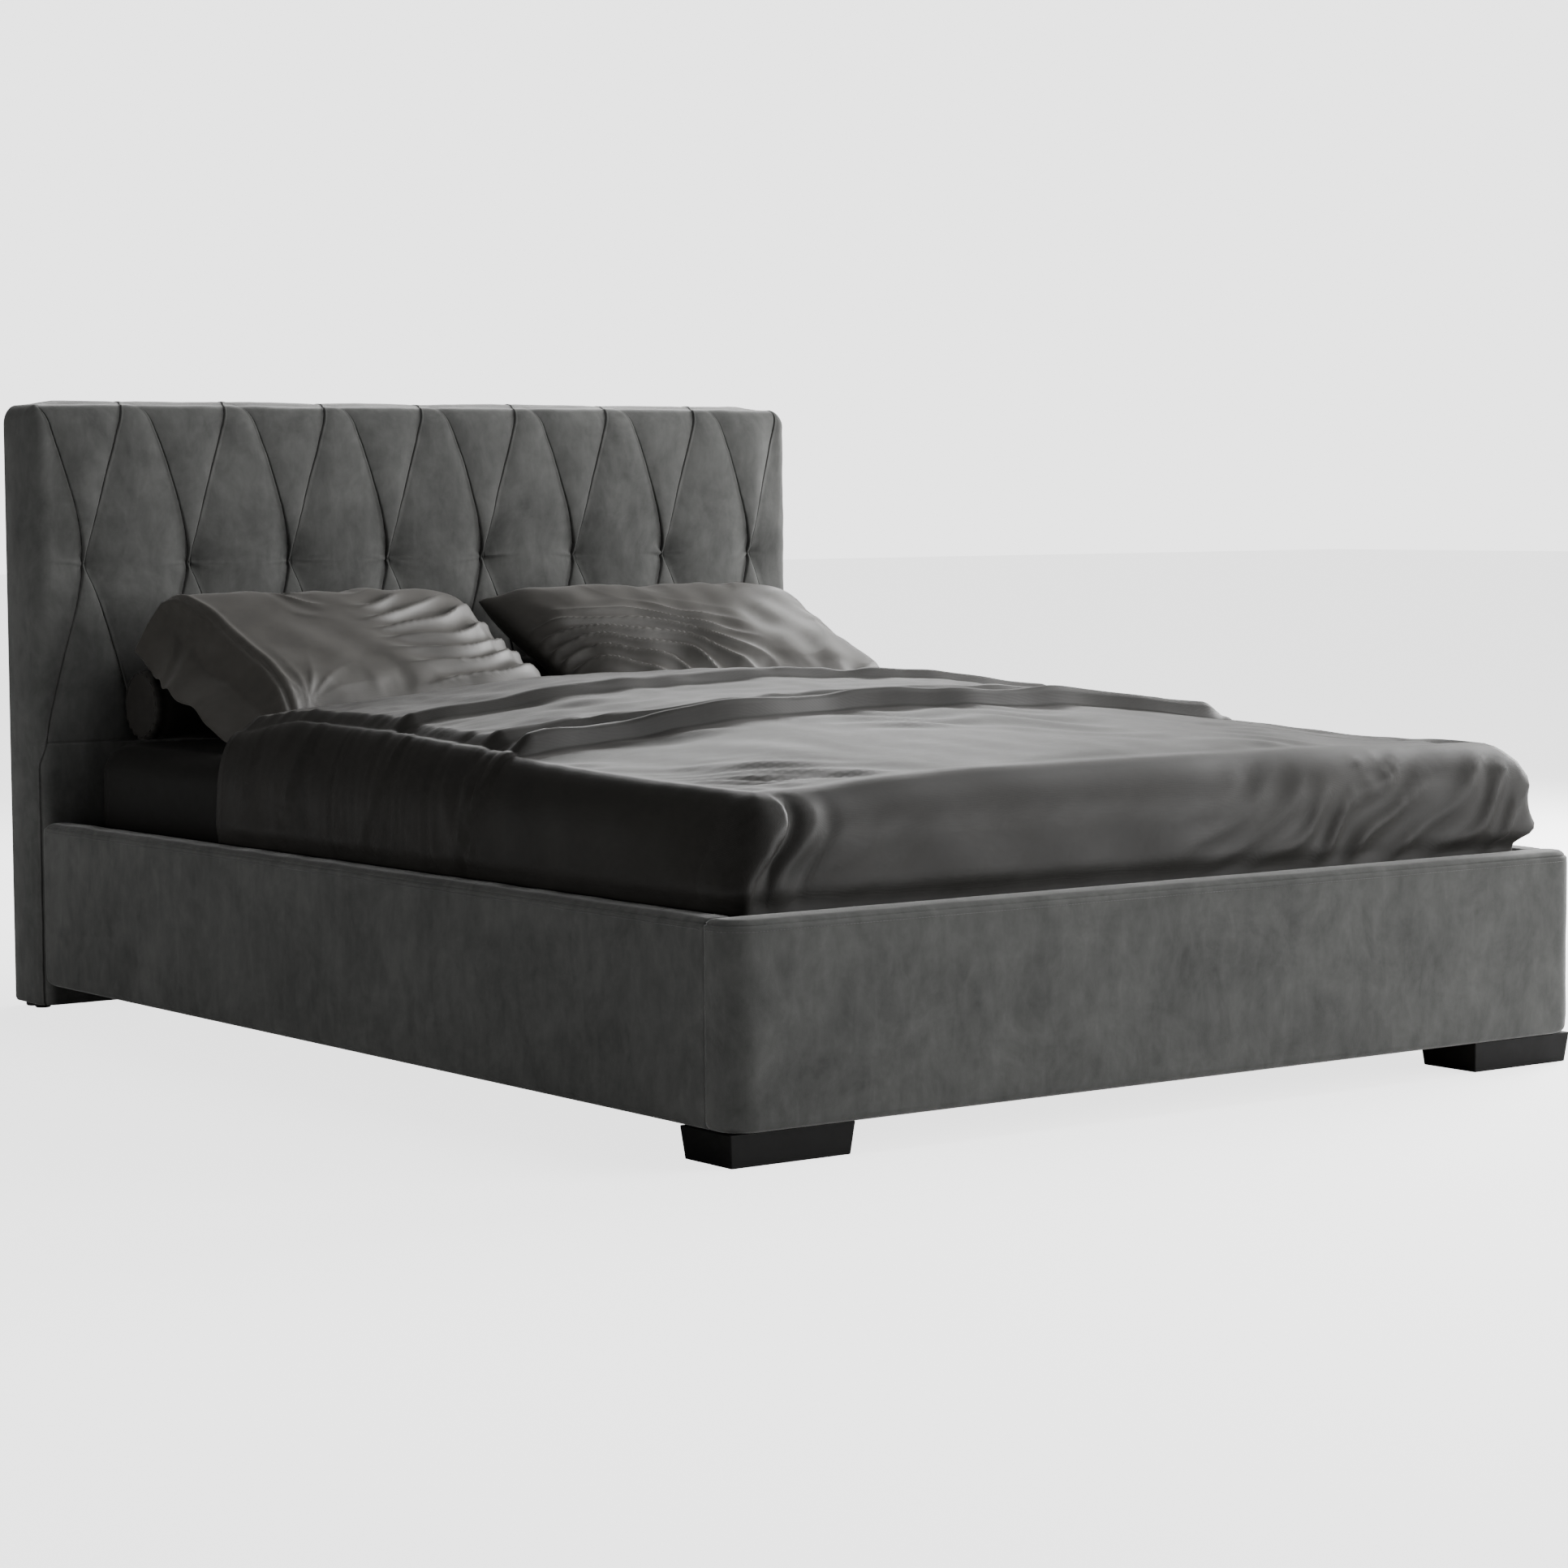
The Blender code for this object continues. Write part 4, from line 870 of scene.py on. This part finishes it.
def build_mattress():
    low, high = BED_LOW, BED_HIGH
    radius = 0.050
    quarter = np.arange(0, 8) / 7 * math.pi / 2
    heights = np.concatenate([
        low.z + 0.018 * (1 - np.cos(quarter)), np.linspace(low.z + 0.018, high.z - radius, 14)[1:-1],
        (high.z - radius * (1 - np.cos(quarter)))[::-1],
    ])
    rings = []
    for z in heights:
        inset = edge_inset(z, low.z, high.z, radius) if z > (low.z + high.z) / 2 \
            else edge_inset(z, low.z, high.z, 0.018)
        corner = 0.110 - inset * 0.5
        half, foot, head = high.x - inset, low.y + inset, high.y - inset
        angles = np.radians(np.linspace(180, 270, 9))
        arc = [(-half + corner + corner * math.cos(t), foot + corner + corner * math.sin(t)) for t in angles]
        front = np.array(arc + [(x, foot) for x in np.linspace(-half + corner, 0, 46)[1:]])
        front = np.concatenate([front, (front[:-1] * (-1, 1))[::-1]])
        back = front.copy()
        back[:, 1] = head - (front[:, 1] - foot)
        ring = np.concatenate([front, back[::-1]])
        rings.append(np.concatenate([ring, np.full((len(ring), 1), z)], axis=1))

    def slept_in(points):
        flat = smooth((points[:, 2] - high.z + 0.010) / 0.010)
        inside = np.clip(np.minimum(high.x - np.abs(points[:, 0]), high.y - points[:, 1]) / 0.12, 0, 1)
        points[:, 2] -= flat * 0.0025 * (1 - inside)
        side = 1 - flat
        folds = np.sin(points[:, 1] * 95 + 2.0 * waves(points, 0.25, 31)) * smooth((points[:, 1] - 0.25) / 0.2)
        taper = 0.014 * np.exp(-((points[:, 1] - low.y) / 0.28) ** 2)
        points[:, 0] *= 1 - taper / high.x
        points[:, 0] -= np.sign(points[:, 0]) * side * 0.0014 * (1 + folds) * (np.abs(points[:, 0]) > high.x - 0.03)
        return points

    points, faces = ring_loft(rings, 40, 70, slept_in)
    piece = make_piece("mattress_in_fitted_sheet", points, faces, SHEET, "mattress", ["mattress"])


def fold_line(x):
    """Where the turned-down edge of the top cover lies, along the bed."""
    return -0.392 + 0.020 * np.sin(x * 4.1 + 0.8) + 0.008 * np.sin(x * 13 + 2.0)


def second_fold(x):
    return -0.085 + 0.115 * smooth((x + 0.75) / 0.95) + 0.014 * np.sin(x * 6.0)


def crown_of(x, y):
    """The height of the bed's top surface over its foot end, fuller in the middle and toward the head."""
    half = COVER_HIGH.x
    side = (1 - np.clip(np.abs(x) / (half - 0.045), 0, 1) ** 3) ** 1.5
    run = np.clip((y - COVER_LOW.y) / 0.55, 0, 1)
    return 0.042 * side * np.sin(run * math.pi / 2) \
        + 0.034 * smooth((y + 0.85) / 1.0) * (1 - 0.65 * smooth((y - 0.22) / 0.22))


def gathers(y, down):
    """Fine folds drawn across the left edge, for a place along the bed and a distance in from that edge."""
    spot = np.stack([y, down * 0.35, np.zeros_like(y)], axis=-1)
    fold = np.sin(y * 84 + 3.0 * waves(spot, 0.24, 61)) + 0.6 * np.sin(y * 163 + 2.4 * waves(spot, 0.15, 62))
    return (1 - np.abs(fold) ** 0.8 * 0.9) * (0.45 + 0.55 * smooth(0.5 + waves(spot, 0.3, 65)))


def top_relief(x, y):
    """Folds and creases on the top of the coverlet."""
    flat = np.stack([x, y, np.zeros_like(x)], axis=-1)
    edge = y - fold_line(x)
    layer = 0.0150 * smooth(edge / 0.004)
    roll = 0.0130 * np.exp(-((edge - 0.018) / 0.014) ** 2) * (1 + 0.25 * np.sin(x * 17 + 1.0))
    dip = -0.0090 * np.exp(-((edge - 0.056) / 0.015) ** 2)
    ridge = 0.0090 * np.exp(-((edge - 0.094 - 0.018 * np.sin(x * 5.2)) / 0.013) ** 2)
    other = y - second_fold(x)
    second = 0.0080 * smooth(other / 0.006) + 0.0085 * np.exp(-((other - 0.018) / 0.016) ** 2)
    creases = 0.0020 * np.sin((y * 0.85 - x * 0.10) * 95 + 2.4 * waves(flat, 0.3, 51)) \
        * smooth(edge / 0.05) * (0.35 + 0.65 * smooth(waves(flat, 0.35, 52)))
    inward = x + COVER_HIGH.x - 0.045
    drawn_in = 0.0062 * gathers(y, inward) * np.exp(-np.clip(inward, 0, None) / 0.20) * smooth(edge / 0.04)
    foot = smooth(-edge / 0.05)
    drawn = 0.0024 * np.sin((x * 0.55 + y * 0.9) * 62 + 2.2 * waves(flat, 0.33, 53)) \
        * foot * smooth(0.5 + waves(flat, 0.45, 54))
    tucked = 0.0022 * np.sin((x * 0.75 + y * 1.15) * 105 + 1.5 * waves(flat, 0.2, 57)) \
        * np.exp(-((x + 0.62) / 0.16) ** 2 - ((y + 0.90) / 0.16) ** 2)
    return layer + roll + dip + ridge + second + creases + drawn_in + drawn + tucked \
        + 0.0030 * waves(flat, 0.42, 55) + 0.0012 * waves(flat, 0.13, 56)


def pinched(phase):
    """A wave with narrow crests and wide hollows."""
    return 1 - 2 * np.abs(np.sin(phase / 2)) ** 0.75


def pulled_corners(points):
    """Leans the tucked left corner inward over the mattress and lets the right corner stand fuller."""
    x, y, z = points[:, 0], points[:, 1], points[:, 2]
    foot, rail_top = COVER_LOW.y, FOOT_HIGH.z
    back = np.clip(y - foot, 0, None)
    left = smooth((-x - 0.34) / 0.34) * np.exp(-(back / 0.20) ** 2) * smooth((z - rail_top - 0.02) / 0.13)
    right = smooth((x - 0.50) / 0.25) * np.exp(-back / 0.40) * smooth((z - rail_top - 0.006) / 0.03)
    points[:, 0] += 0.034 * left + 0.019 * right
    points[:, 2] -= 0.010 * left + 0.006 * right * smooth((z - 0.46) / 0.03)
    return points


def build_coverlet():
    low, high = COVER_LOW, COVER_HIGH
    half, foot, head = high.x, low.y, high.y
    round_side, round_foot, round_top = 0.045, 0.070, 0.080
    core, core_y = half - round_side, foot + round_foot
    top_z = BED_HIGH.z + 0.026
    roll_from = top_z - round_top
    corner_run, roll_run = math.pi / 2 * round_side, math.pi / 2 * round_top
    drops = np.concatenate([np.linspace(low.z, roll_from, 17), roll_from + roll_run * np.arange(1, 10) / 9])
    base_y = np.concatenate([
        np.linspace(core_y, -0.47, 42), np.linspace(-0.47, -0.36, 26)[1:], np.linspace(-0.36, -0.20, 20)[1:],
        np.linspace(-0.20, 0.06, 34)[1:], np.linspace(0.06, head, 26)[1:],
    ])[1:]

    def warped(x):
        """Rows that follow the fold lines across the bed."""
        first, other = fold_line(x) + 0.400, second_fold(x) + 0.085
        near = np.exp(-((base_y + 0.400) / 0.12) ** 2)
        far = np.exp(-((base_y + 0.060) / 0.13) ** 2)
        return base_y + first * near + other * far * 0.8

    front_x = np.concatenate([
        np.linspace(-core, -0.60, 32), np.linspace(-0.60, 0.25, 66)[1:], np.linspace(0.25, core, 62)[1:],
    ])
    corner = np.arange(1, 12) / 12 * corner_run
    left_y, right_y = warped(-core), warped(core)
    belt_a = np.concatenate([
        -(core + corner_run + left_y[::-1] - core_y), -(core + corner_run), -(core + corner[::-1]), front_x,
        core + corner, core + corner_run, core + corner_run + right_y - core_y,
    ], axis=None)
    a, v = np.meshgrid(belt_a, drops)
    side, reach = np.sign(a), np.abs(a)
    turn = np.clip((reach - core) / corner_run, 0, 1) * math.pi / 2
    tilt = np.clip((v - roll_from) / roll_run, 0, 1) * math.pi / 2
    y_core = core_y + np.clip(reach - core - corner_run, 0, None)
    centre = np.stack([side * np.minimum(reach, core), y_core, np.minimum(v, roll_from)], axis=-1)
    square = np.stack([side * np.sin(turn) ** 0.5, -np.cos(turn) ** 0.5], axis=-1)
    heading = np.stack([side * np.sin(turn) * np.cos(tilt), -np.cos(turn) * np.cos(tilt), np.sin(tilt)], axis=-1)
    outline = np.concatenate([square * np.cos(tilt)[..., None], np.sin(tilt)[..., None]], axis=-1)
    belt = centre + outline * np.array([round_side, round_foot, round_top])
    rail_top = FOOT_HIGH.z
    rise = np.clip((v - rail_top) / (roll_from - rail_top), 0, 1)
    free = smooth((v - rail_top + 0.004) / 0.04)
    x_reach, along = np.abs(belt[..., 0]), belt[..., 1] - core_y
    settled = 1 - 0.9 * smooth((belt[..., 1] - 0.32) / 0.12)
    bulge = settled * (0.009 + 0.013 * (side > 0) * smooth((x_reach - 0.55) / 0.18) * smooth((0.30 - along) / 0.3)) \
        * smooth(rise * 3) * (1 - 0.3 * rise) * free
    x, y = belt[..., 0], belt[..., 1]
    on_left = (side < 0) & (reach > core + corner_run * 0.5)
    gathered = smooth((y + 0.40) / 0.04) * on_left
    fullness = 1 - 0.45 * smooth((y - 0.15) / 0.15)
    depth = settled * (0.3 + 0.7 * free) * gathered * fullness * 0.0050 * gathers(y, v - roll_from - roll_run) \
        * smooth((v - low.z) / 0.03)
    for line, height in ((-0.385, 0.0085), (-0.100, 0.0070), (0.170, 0.0065)):
        lean = y - line - 0.07 * smooth((top_z - v) / 0.16) + 0.03
        depth += free * on_left * (height * smooth(lean / 0.008) * np.exp(-np.clip(lean, 0, None) / 0.06))
    on_foot = reach < core + corner_run * 0.7
    drop = np.clip((top_z + 0.01 - v) / (top_z - rail_top), 0, 1)
    towards = 1 - np.clip((0.80 - x) / 0.80, 0, 1)
    spot = np.stack([x, v, np.zeros_like(x)], axis=-1)
    slant = pinched((x * 0.85 + (top_z - v) * 1.35) * 84 + 2.0 * waves(spot, 0.25, 63))
    depth += free * on_foot * 0.0125 * slant * drop ** 0.7 * (0.12 + 0.88 * smooth(towards * 1.7)) \
        * (0.6 + 0.4 * waves(spot, 0.2, 66))
    lap = x + 0.742 - 0.036 * smooth((v - 0.36) / 0.13)
    tuck = smooth((0.525 - v) / 0.04) * free * (side < 0) * (reach < core + corner_run * 1.1)
    depth += tuck * (0.0135 * np.where(lap > 0, np.exp(-(lap / 0.0055) ** 2), np.exp(-(lap / 0.030) ** 2))
                     - 0.0100 * np.exp(-((lap - 0.021) / 0.011) ** 2) + 0.0035 * np.exp(-((lap - 0.050) / 0.014) ** 2)
                     - 0.0030 * np.exp(-((lap - 0.085) / 0.016) ** 2))
    depth += free * 0.0020 * waves(belt, 0.16, 64)
    belt = belt + heading * np.array([1, 1, 0.4]) * (bulge + depth)[..., None]
    hem = smooth((rail_top + 0.003 - v) / 0.006)
    belt[..., 0] = np.where(np.abs(belt[..., 0]) > half, belt[..., 0] * (1 - hem) + side * half * hem, belt[..., 0])

    count_rows, count_columns = a.shape
    side_count = len(base_y)
    inner_start = side_count + 12
    front_count = len(front_x)
    share = (front_x + core) / (2 * core)
    top_y = np.stack([warped(item) for item in front_x], axis=1)
    top_x = np.repeat(front_x[None, :], side_count, axis=0)
    top_height = top_z + crown_of(top_x, top_y)
    relief = top_relief(top_x, top_y)
    ease = smooth((core - np.abs(top_x) + 0.012) / 0.05) * smooth((top_y - core_y) / 0.05)
    top = np.stack([top_x, top_y, top_height + relief * ease], axis=-1)
    lifted = smooth((v - roll_from) / roll_run)
    crown_side = crown_of(np.clip(x, -core, core), y)
    belt[..., 2] += lifted * crown_side
    side_relief = top_relief(np.clip(x, -core, core), y) * smooth((y - core_y) / 0.05)
    lift_edge = smooth((v - roll_from + 0.015) / (roll_run + 0.015))
    belt[..., 2] += side_relief * lift_edge * smooth(0.012 / 0.05)

    index = np.arange(count_rows * count_columns).reshape(count_rows, count_columns)
    points = [belt.reshape(-1, 3)]
    used = index.size
    first = index[-1, inner_start:inner_start + front_count]
    table = [first]
    for row in range(side_count):
        inner = np.arange(used, used + front_count - 2)
        used += front_count - 2
        points.append(top[row, 1:-1])
        table.append(np.concatenate([[index[-1, side_count - 1 - row]], inner,
                                     [index[-1, count_columns - side_count + row]]]))
    faces = grid_faces(index) + grid_faces(np.array(table))
    points = pulled_corners(np.concatenate(points))
    piece = new_object("coverlet_cloth", points, faces)
    finish_mesh(piece, BEDDING, 2e-5, faces_up)
    wall = piece.modifiers.new("cloth_thickness", "SOLIDIFY")
    wall.thickness, wall.offset = 0.004, -1.0
    bake_modifiers(piece)
    attach(piece, "coverlet", ["coverlet"])


def bake_modifiers(piece):
    """Turns a piece's live modifiers into its plain mesh."""
    bpy.context.view_layer.update()
    graph = bpy.context.evaluated_depsgraph_get()
    mesh = bpy.data.meshes.new_from_object(piece.evaluated_get(graph))
    piece.modifiers.clear()
    old, piece.data = piece.data, mesh
    bpy.data.meshes.remove(old)


def build_bolster():
    low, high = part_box("bolster")
    centre = (low + high) / 2
    radius, half = (high.z - low.z) / 2, (high.x - low.x) / 2
    steps, around = 150, 64
    points, faces = [], []
    turn = 0.016
    profile = [(-half, 0.0)]
    profile += [(-half + 0.0016 * math.sin(t * math.pi), radius * 0.92 * t) for t in (0.3, 0.55, 0.75, 0.88, 0.96)]
    profile += [(-half + turn * (1 - math.cos(t)) * 0.8, radius * 0.92 + radius * 0.08 * math.sin(t))
                for t in np.radians((0, 20, 40, 60, 80))]
    ends = [(-x, r) for x, r in profile][::-1]
    body = [(x, radius) for x in np.linspace(-half + turn, half - turn, steps)]
    profile = np.array(profile + body + ends)
    rows = len(profile)
    angle = np.arange(around) / around * 2 * math.pi
    x = np.repeat(profile[:, :1], around, axis=1)
    r = np.repeat(profile[:, 1:], around, axis=1)
    turned = np.repeat(angle[None], rows, axis=0)
    spot = np.stack([x, np.cos(turned) * 0.065, np.sin(turned) * 0.065], axis=-1)
    gather = np.clip(1 - (half - np.abs(x)) / 0.12, 0, 1) * (r > radius * 0.5)
    r = r - (r > radius * 0.9) * (0.0018 * (1 + waves(spot, 0.16, 71)) + 0.0014 * gather * (1 + np.sin(turned * 19)))
    seam = np.abs(half - np.abs(x) - turn) < 0.003
    r = np.where(seam & (r > radius * 0.9), r - 0.0016, r)
    cloud = np.stack([centre.x + x, centre.y + r * np.cos(turned), centre.z + r * np.sin(turned)], axis=-1)
    index = np.arange(rows * around).reshape(rows, around)
    closed = np.concatenate([index, index[:, :1]], axis=1)
    piece = make_piece("bolster_cushion", cloud.reshape(-1, 3), grid_faces(closed), BEDDING, "bolster",
                       ["bolster"], merge=1e-5)


PILLOW_TILT = math.radians(25.0)


def stuffed_case(name, points, faces, seed):
    """A pillow form pressed out by its filling inside a roomy case: a cloth simulation held near its form."""
    start = points * 0.97
    start[:, 2] += 0.0015 * waves(start, 0.07, seed) * np.clip(np.abs(points[:, 2]) / 0.03, 0, 1)
    mesh = bpy.data.meshes.new(name)
    mesh.from_pydata([tuple(point) for point in start], [], faces)
    piece = bpy.data.objects.new(name, mesh)
    bpy.context.scene.collection.objects.link(piece)
    cloth = piece.modifiers.new("filling", "CLOTH")
    settings = cloth.settings
    settings.quality = 7
    settings.mass = 0.2
    settings.tension_stiffness = settings.compression_stiffness = 18
    settings.shear_stiffness = 8
    settings.bending_stiffness = 0.25
    settings.shrink_min = -0.05
    settings.use_pressure = True
    settings.uniform_pressure_force = 4.0
    settings.effector_weights.gravity = 0
    cloth.collision_settings.use_collision = False
    for number in range(1, 21):
        bpy.context.scene.frame_set(number)
    graph = bpy.context.evaluated_depsgraph_get()
    result = bpy.data.meshes.new_from_object(piece.evaluated_get(graph))
    bpy.context.scene.frame_set(1)
    filled = np.zeros(len(result.vertices) * 3)
    result.vertices.foreach_get("co", filled)
    bpy.data.objects.remove(piece)
    shift = filled.reshape(-1, 3) - points
    reach = np.linalg.norm(shift, axis=1, keepdims=True)
    return points + shift * np.minimum(1, 0.012 / np.maximum(reach, 1e-9))


def build_pillow(word, seed):
    low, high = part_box("pillow_" + word)
    centre = (low + high) / 2
    width, depth, thickness = high.x - low.x, 0.460, 0.142
    filled, faces = plain_pillow(width, depth, thickness)
    filled = stuffed_case("pillow_" + word + "_case", filled, faces, seed)
    filled, faces = refined(filled, faces)
    span = filled.max(axis=0) - filled.min(axis=0)
    filled = (filled - (filled.max(axis=0) + filled.min(axis=0)) / 2) * (
        np.array([width, depth, thickness]) / span * np.array([1.0, 1.0, 0.98]))
    u, w = filled[:, 0] / (width / 2), filled[:, 1] / (depth / 2)
    upper = smooth(filled[:, 2] / 0.02)
    flat = np.stack([filled[:, 0], filled[:, 1], np.zeros(len(filled))], axis=1)
    drift = waves(flat, 0.2, seed + 4)
    if word == "left":
        ring = np.hypot((u - 0.05) * 0.9, (w - 1.25) * 0.75)
        arcs = pinched(ring * 40 + 1.2 * drift) * smooth((u - 0.05) / 0.3) * smooth((0.80 - w) / 0.5)
        fan = pinched((u * 1.1 + w * 0.75) * 22 + 1.8 * drift) * smooth((0.15 - np.abs(u + 0.15)) / 0.15) \
            * smooth((w - 0.1) / 0.4) * 0.7
        tie = pinched(np.arctan2(w + 0.9, u + 0.55) * 16 + drift) * np.exp(-np.hypot(u + 0.45, w + 0.75) / 0.22) * 0.8
    else:
        ring = np.hypot((u + 1.25) * 0.8, (w + 1.1) * 0.9)
        arcs = pinched(ring * 42 + 1.1 * drift) * smooth((0.30 - u) / 0.5) * smooth((0.45 - w) / 0.6)
        fan = pinched((u * 0.7 - w * 0.5) * 20 + 1.7 * drift) * smooth((u - 0.3) / 0.3) * 0.25
        tie = pinched((u * 1.2 + w * 0.4) * 20 + drift) * np.exp(-np.hypot(u + 0.4, w - 0.7) / 0.3) * 0.5
    inside = smooth((1 - np.abs(u)) / 0.06) * smooth((1 - np.abs(w)) / 0.08)
    filled[:, 2] += (0.0085 * arcs + 0.0062 * fan + 0.0022 * tie + 0.0016 * waves(flat, 0.11, seed + 5)) \
        * upper * inside
    if word == "left":
        seam = -0.70 - 0.05 * w
        beyond = np.clip((seam - u) / (1 + seam), 0, 1)
        limp = smooth(beyond / 0.32)
        filled[:, 2] += upper * inside * (-0.0060 * np.exp(-((u - seam) / 0.011) ** 2)
                                          + 0.0030 * np.exp(-((u - seam - 0.035) / 0.018) ** 2))
        filled[:, 2] *= 1 - 0.86 * limp
        filled[:, 2] += 0.0040 * np.sin(w * 9 + 3 * drift) * limp
        hang = beyond ** 1.4 * (0.35 + 0.65 * smooth((w + 0.6) / 1.4))
        filled[:, 2] -= 0.085 * hang
        filled[:, 0] += 0.055 * beyond * smooth((w + 0.2) / 1.1)
    turn = Matrix.Rotation(PILLOW_TILT, 3, "X")
    placed = filled @ np.array(turn).T + np.array(centre)
    placed[:, 2] -= 0.009
    rest = BED_HIGH.z + 0.003
    placed[:, 2] = np.where(placed[:, 2] < rest + 0.03, rest + 0.03 * np.exp((placed[:, 2] - rest - 0.03) / 0.03),
                            placed[:, 2])
    piece = make_piece("pillow_" + word + "_in_case", placed, faces, PILLOWCASE_PAINTED_LIGHT, "pillow_" + word,
                       ["pillow_" + word])


def refined(points, faces):
    """The same closed form with each face split in four and smoothed."""
    mesh = bpy.data.meshes.new("rough_form")
    mesh.from_pydata([tuple(point) for point in points], [], faces)
    piece = bpy.data.objects.new("rough_form", mesh)
    bpy.context.scene.collection.objects.link(piece)
    smoother = piece.modifiers.new("even_out", "SUBSURF")
    smoother.levels = smoother.render_levels = 1
    bake_modifiers(piece)
    cloud = np.zeros(len(piece.data.vertices) * 3)
    piece.data.vertices.foreach_get("co", cloud)
    result = cloud.reshape(-1, 3), [list(face.vertices) for face in piece.data.polygons]
    bpy.data.objects.remove(piece)
    return result


def plain_pillow(width, depth, thickness):
    columns, rows = 84, 56
    points, faces, numbers = [], [], {}
    for level in (1, -1):
        for row in range(rows + 1):
            for column in range(columns + 1):
                u, w = 2 * column / columns - 1, 2 * row / rows - 1
                if level < 0 and (abs(u) == 1 or abs(w) == 1):
                    numbers[level, column, row] = numbers[1, column, row]
                    continue
                numbers[level, column, row] = len(points)
                lens = math.sqrt(max(0.0, (1 - u ** 4) * (1 - w ** 4)))
                points.append((u * width / 2, w * depth / 2, level * lens * thickness / 2))
        for row in range(rows):
            for column in range(columns):
                ring = [(column, row), (column + 1, row), (column + 1, row + 1), (column, row + 1)]
                ring = ring if level > 0 else ring[::-1]
                faces.append([numbers[level, c, r] for c, r in ring])
    return np.array(points), faces


# ---- stage ----

def area_light(name, place, aim, size, power):
    lamp = bpy.data.lights.new(name, "AREA")
    lamp.shape, lamp.size, lamp.size_y, lamp.energy = "RECTANGLE", size[0], size[1], power
    obj = bpy.data.objects.new(name, lamp)
    obj.location = place
    obj.rotation_euler = (Vector(aim) - Vector(place)).to_track_quat("-Z", "Y").to_euler()
    bpy.context.scene.collection.objects.link(obj)
    return obj


def build_stage():
    floor_mesh = bpy.data.meshes.new("studio_floor")
    far = 40.0
    floor_mesh.from_pydata([(-far, -far, 0), (far, -far, 0), (far, far, 0), (-far, far, 0)], [], [(0, 1, 2, 3)])
    floor = bpy.data.objects.new("studio_floor", floor_mesh)
    bpy.context.scene.collection.objects.link(floor)
    paper = bpy.data.materials.new("pale_floor")
    paper.use_nodes = True
    tree = paper.node_tree
    matte = tree.nodes["Principled BSDF"]
    matte.inputs["Base Color"].default_value = (0.92, 0.92, 0.92, 1)
    matte.inputs["Roughness"].default_value = 0.9
    matte.inputs["Emission Color"].default_value = (1, 1, 1, 1)
    seen = add(tree, "ShaderNodeLightPath").outputs["Is Camera Ray"]
    tree.links.new(maths(tree, "MULTIPLY", seen, 2.4), matte.inputs["Emission Strength"])
    floor_mesh.materials.append(paper)
    world = bpy.data.worlds.new("studio")
    bpy.context.scene.world = world
    world.use_nodes = True
    tree = world.node_tree
    shown = add(tree, "ShaderNodeBackground", {"Color": (1, 1, 1, 1), "Strength": 3.0})
    lit = tree.nodes["Background"]
    lit.inputs["Color"].default_value = (1, 1, 1, 1)
    lit.inputs["Strength"].default_value = 0.07
    seen = add(tree, "ShaderNodeLightPath").outputs["Is Camera Ray"]
    mixed = add(tree, "ShaderNodeMixShader", {0: seen, 1: lit.outputs[0], 2: shown.outputs[0]})
    tree.links.new(mixed.outputs[0], tree.nodes["World Output"].inputs["Surface"])
    area_light("right_window", (4.8, 0.5, 2.2), (0.2, 0.1, 0.5), (2.2, 1.6), 430)
    area_light("front_right", (6.4, -4.4, 2.6), (0, 0, 0.5), (2.8, 2.2), 340)
    area_light("front", (1.6, -7.5, 3.0), (0, 0, 0.5), (3.0, 2.4), 50)
    area_light("overhead", (1.2, -1.6, 3.9), (0.3, -0.9, 0.35), (2.6, 1.6), 80)
    area_light("back_top_strip", (2.6, 3.8, 2.6), (0.3, -0.9, 0.35), (3.0, 1.2), 150)
    area_light("low_front", (2.6, -4.4, 1.1), (0.3, -1.1, 0.2), (1.8, 0.8), 74)
    area_light("left_fill", (-5.0, 0.6, 0.5), (-0.8, 0, 0.1), (2.4, 0.7), 62).visible_glossy = False


def build_camera():
    yaw, pitch, roll = (math.radians(angle) for angle in (36.026, -4.197, -0.422))
    ahead = Vector((math.sin(yaw) * math.cos(pitch), math.cos(yaw) * math.cos(pitch), math.sin(pitch)))
    level = Vector((math.cos(yaw), -math.sin(yaw), 0))
    upright = level.cross(ahead)
    right = level * math.cos(roll) + upright * math.sin(roll)
    up = upright * math.cos(roll) - level * math.sin(roll)
    lens = bpy.data.cameras.new("camera")
    lens.lens, lens.sensor_width = 89.94, 36.0
    lens.clip_end = 100
    camera = bpy.data.objects.new("camera", lens)
    camera.matrix_world = Matrix((
        (right.x, up.x, -ahead.x, -3.8000), (right.y, up.y, -ahead.y, -5.3378),
        (right.z, up.z, -ahead.z, 0.8984), (0, 0, 0, 1),
    ))
    bpy.context.scene.collection.objects.link(camera)
    bpy.context.scene.camera = camera


build_camera()
build_stage()
dress_frame()
build_headboard()
STITCHES = stitch_tree()
for SIDE, WORD in ((-1, "left"), (1, "right")):
    sew("rail_stitches_" + WORD, build_rail(SIDE, WORD), STITCHES)
sew("foot_stitches", build_foot(), STITCHES)
build_mattress()
build_coverlet()
build_bolster()
build_pillow("left", 81)
build_pillow("right", 91)
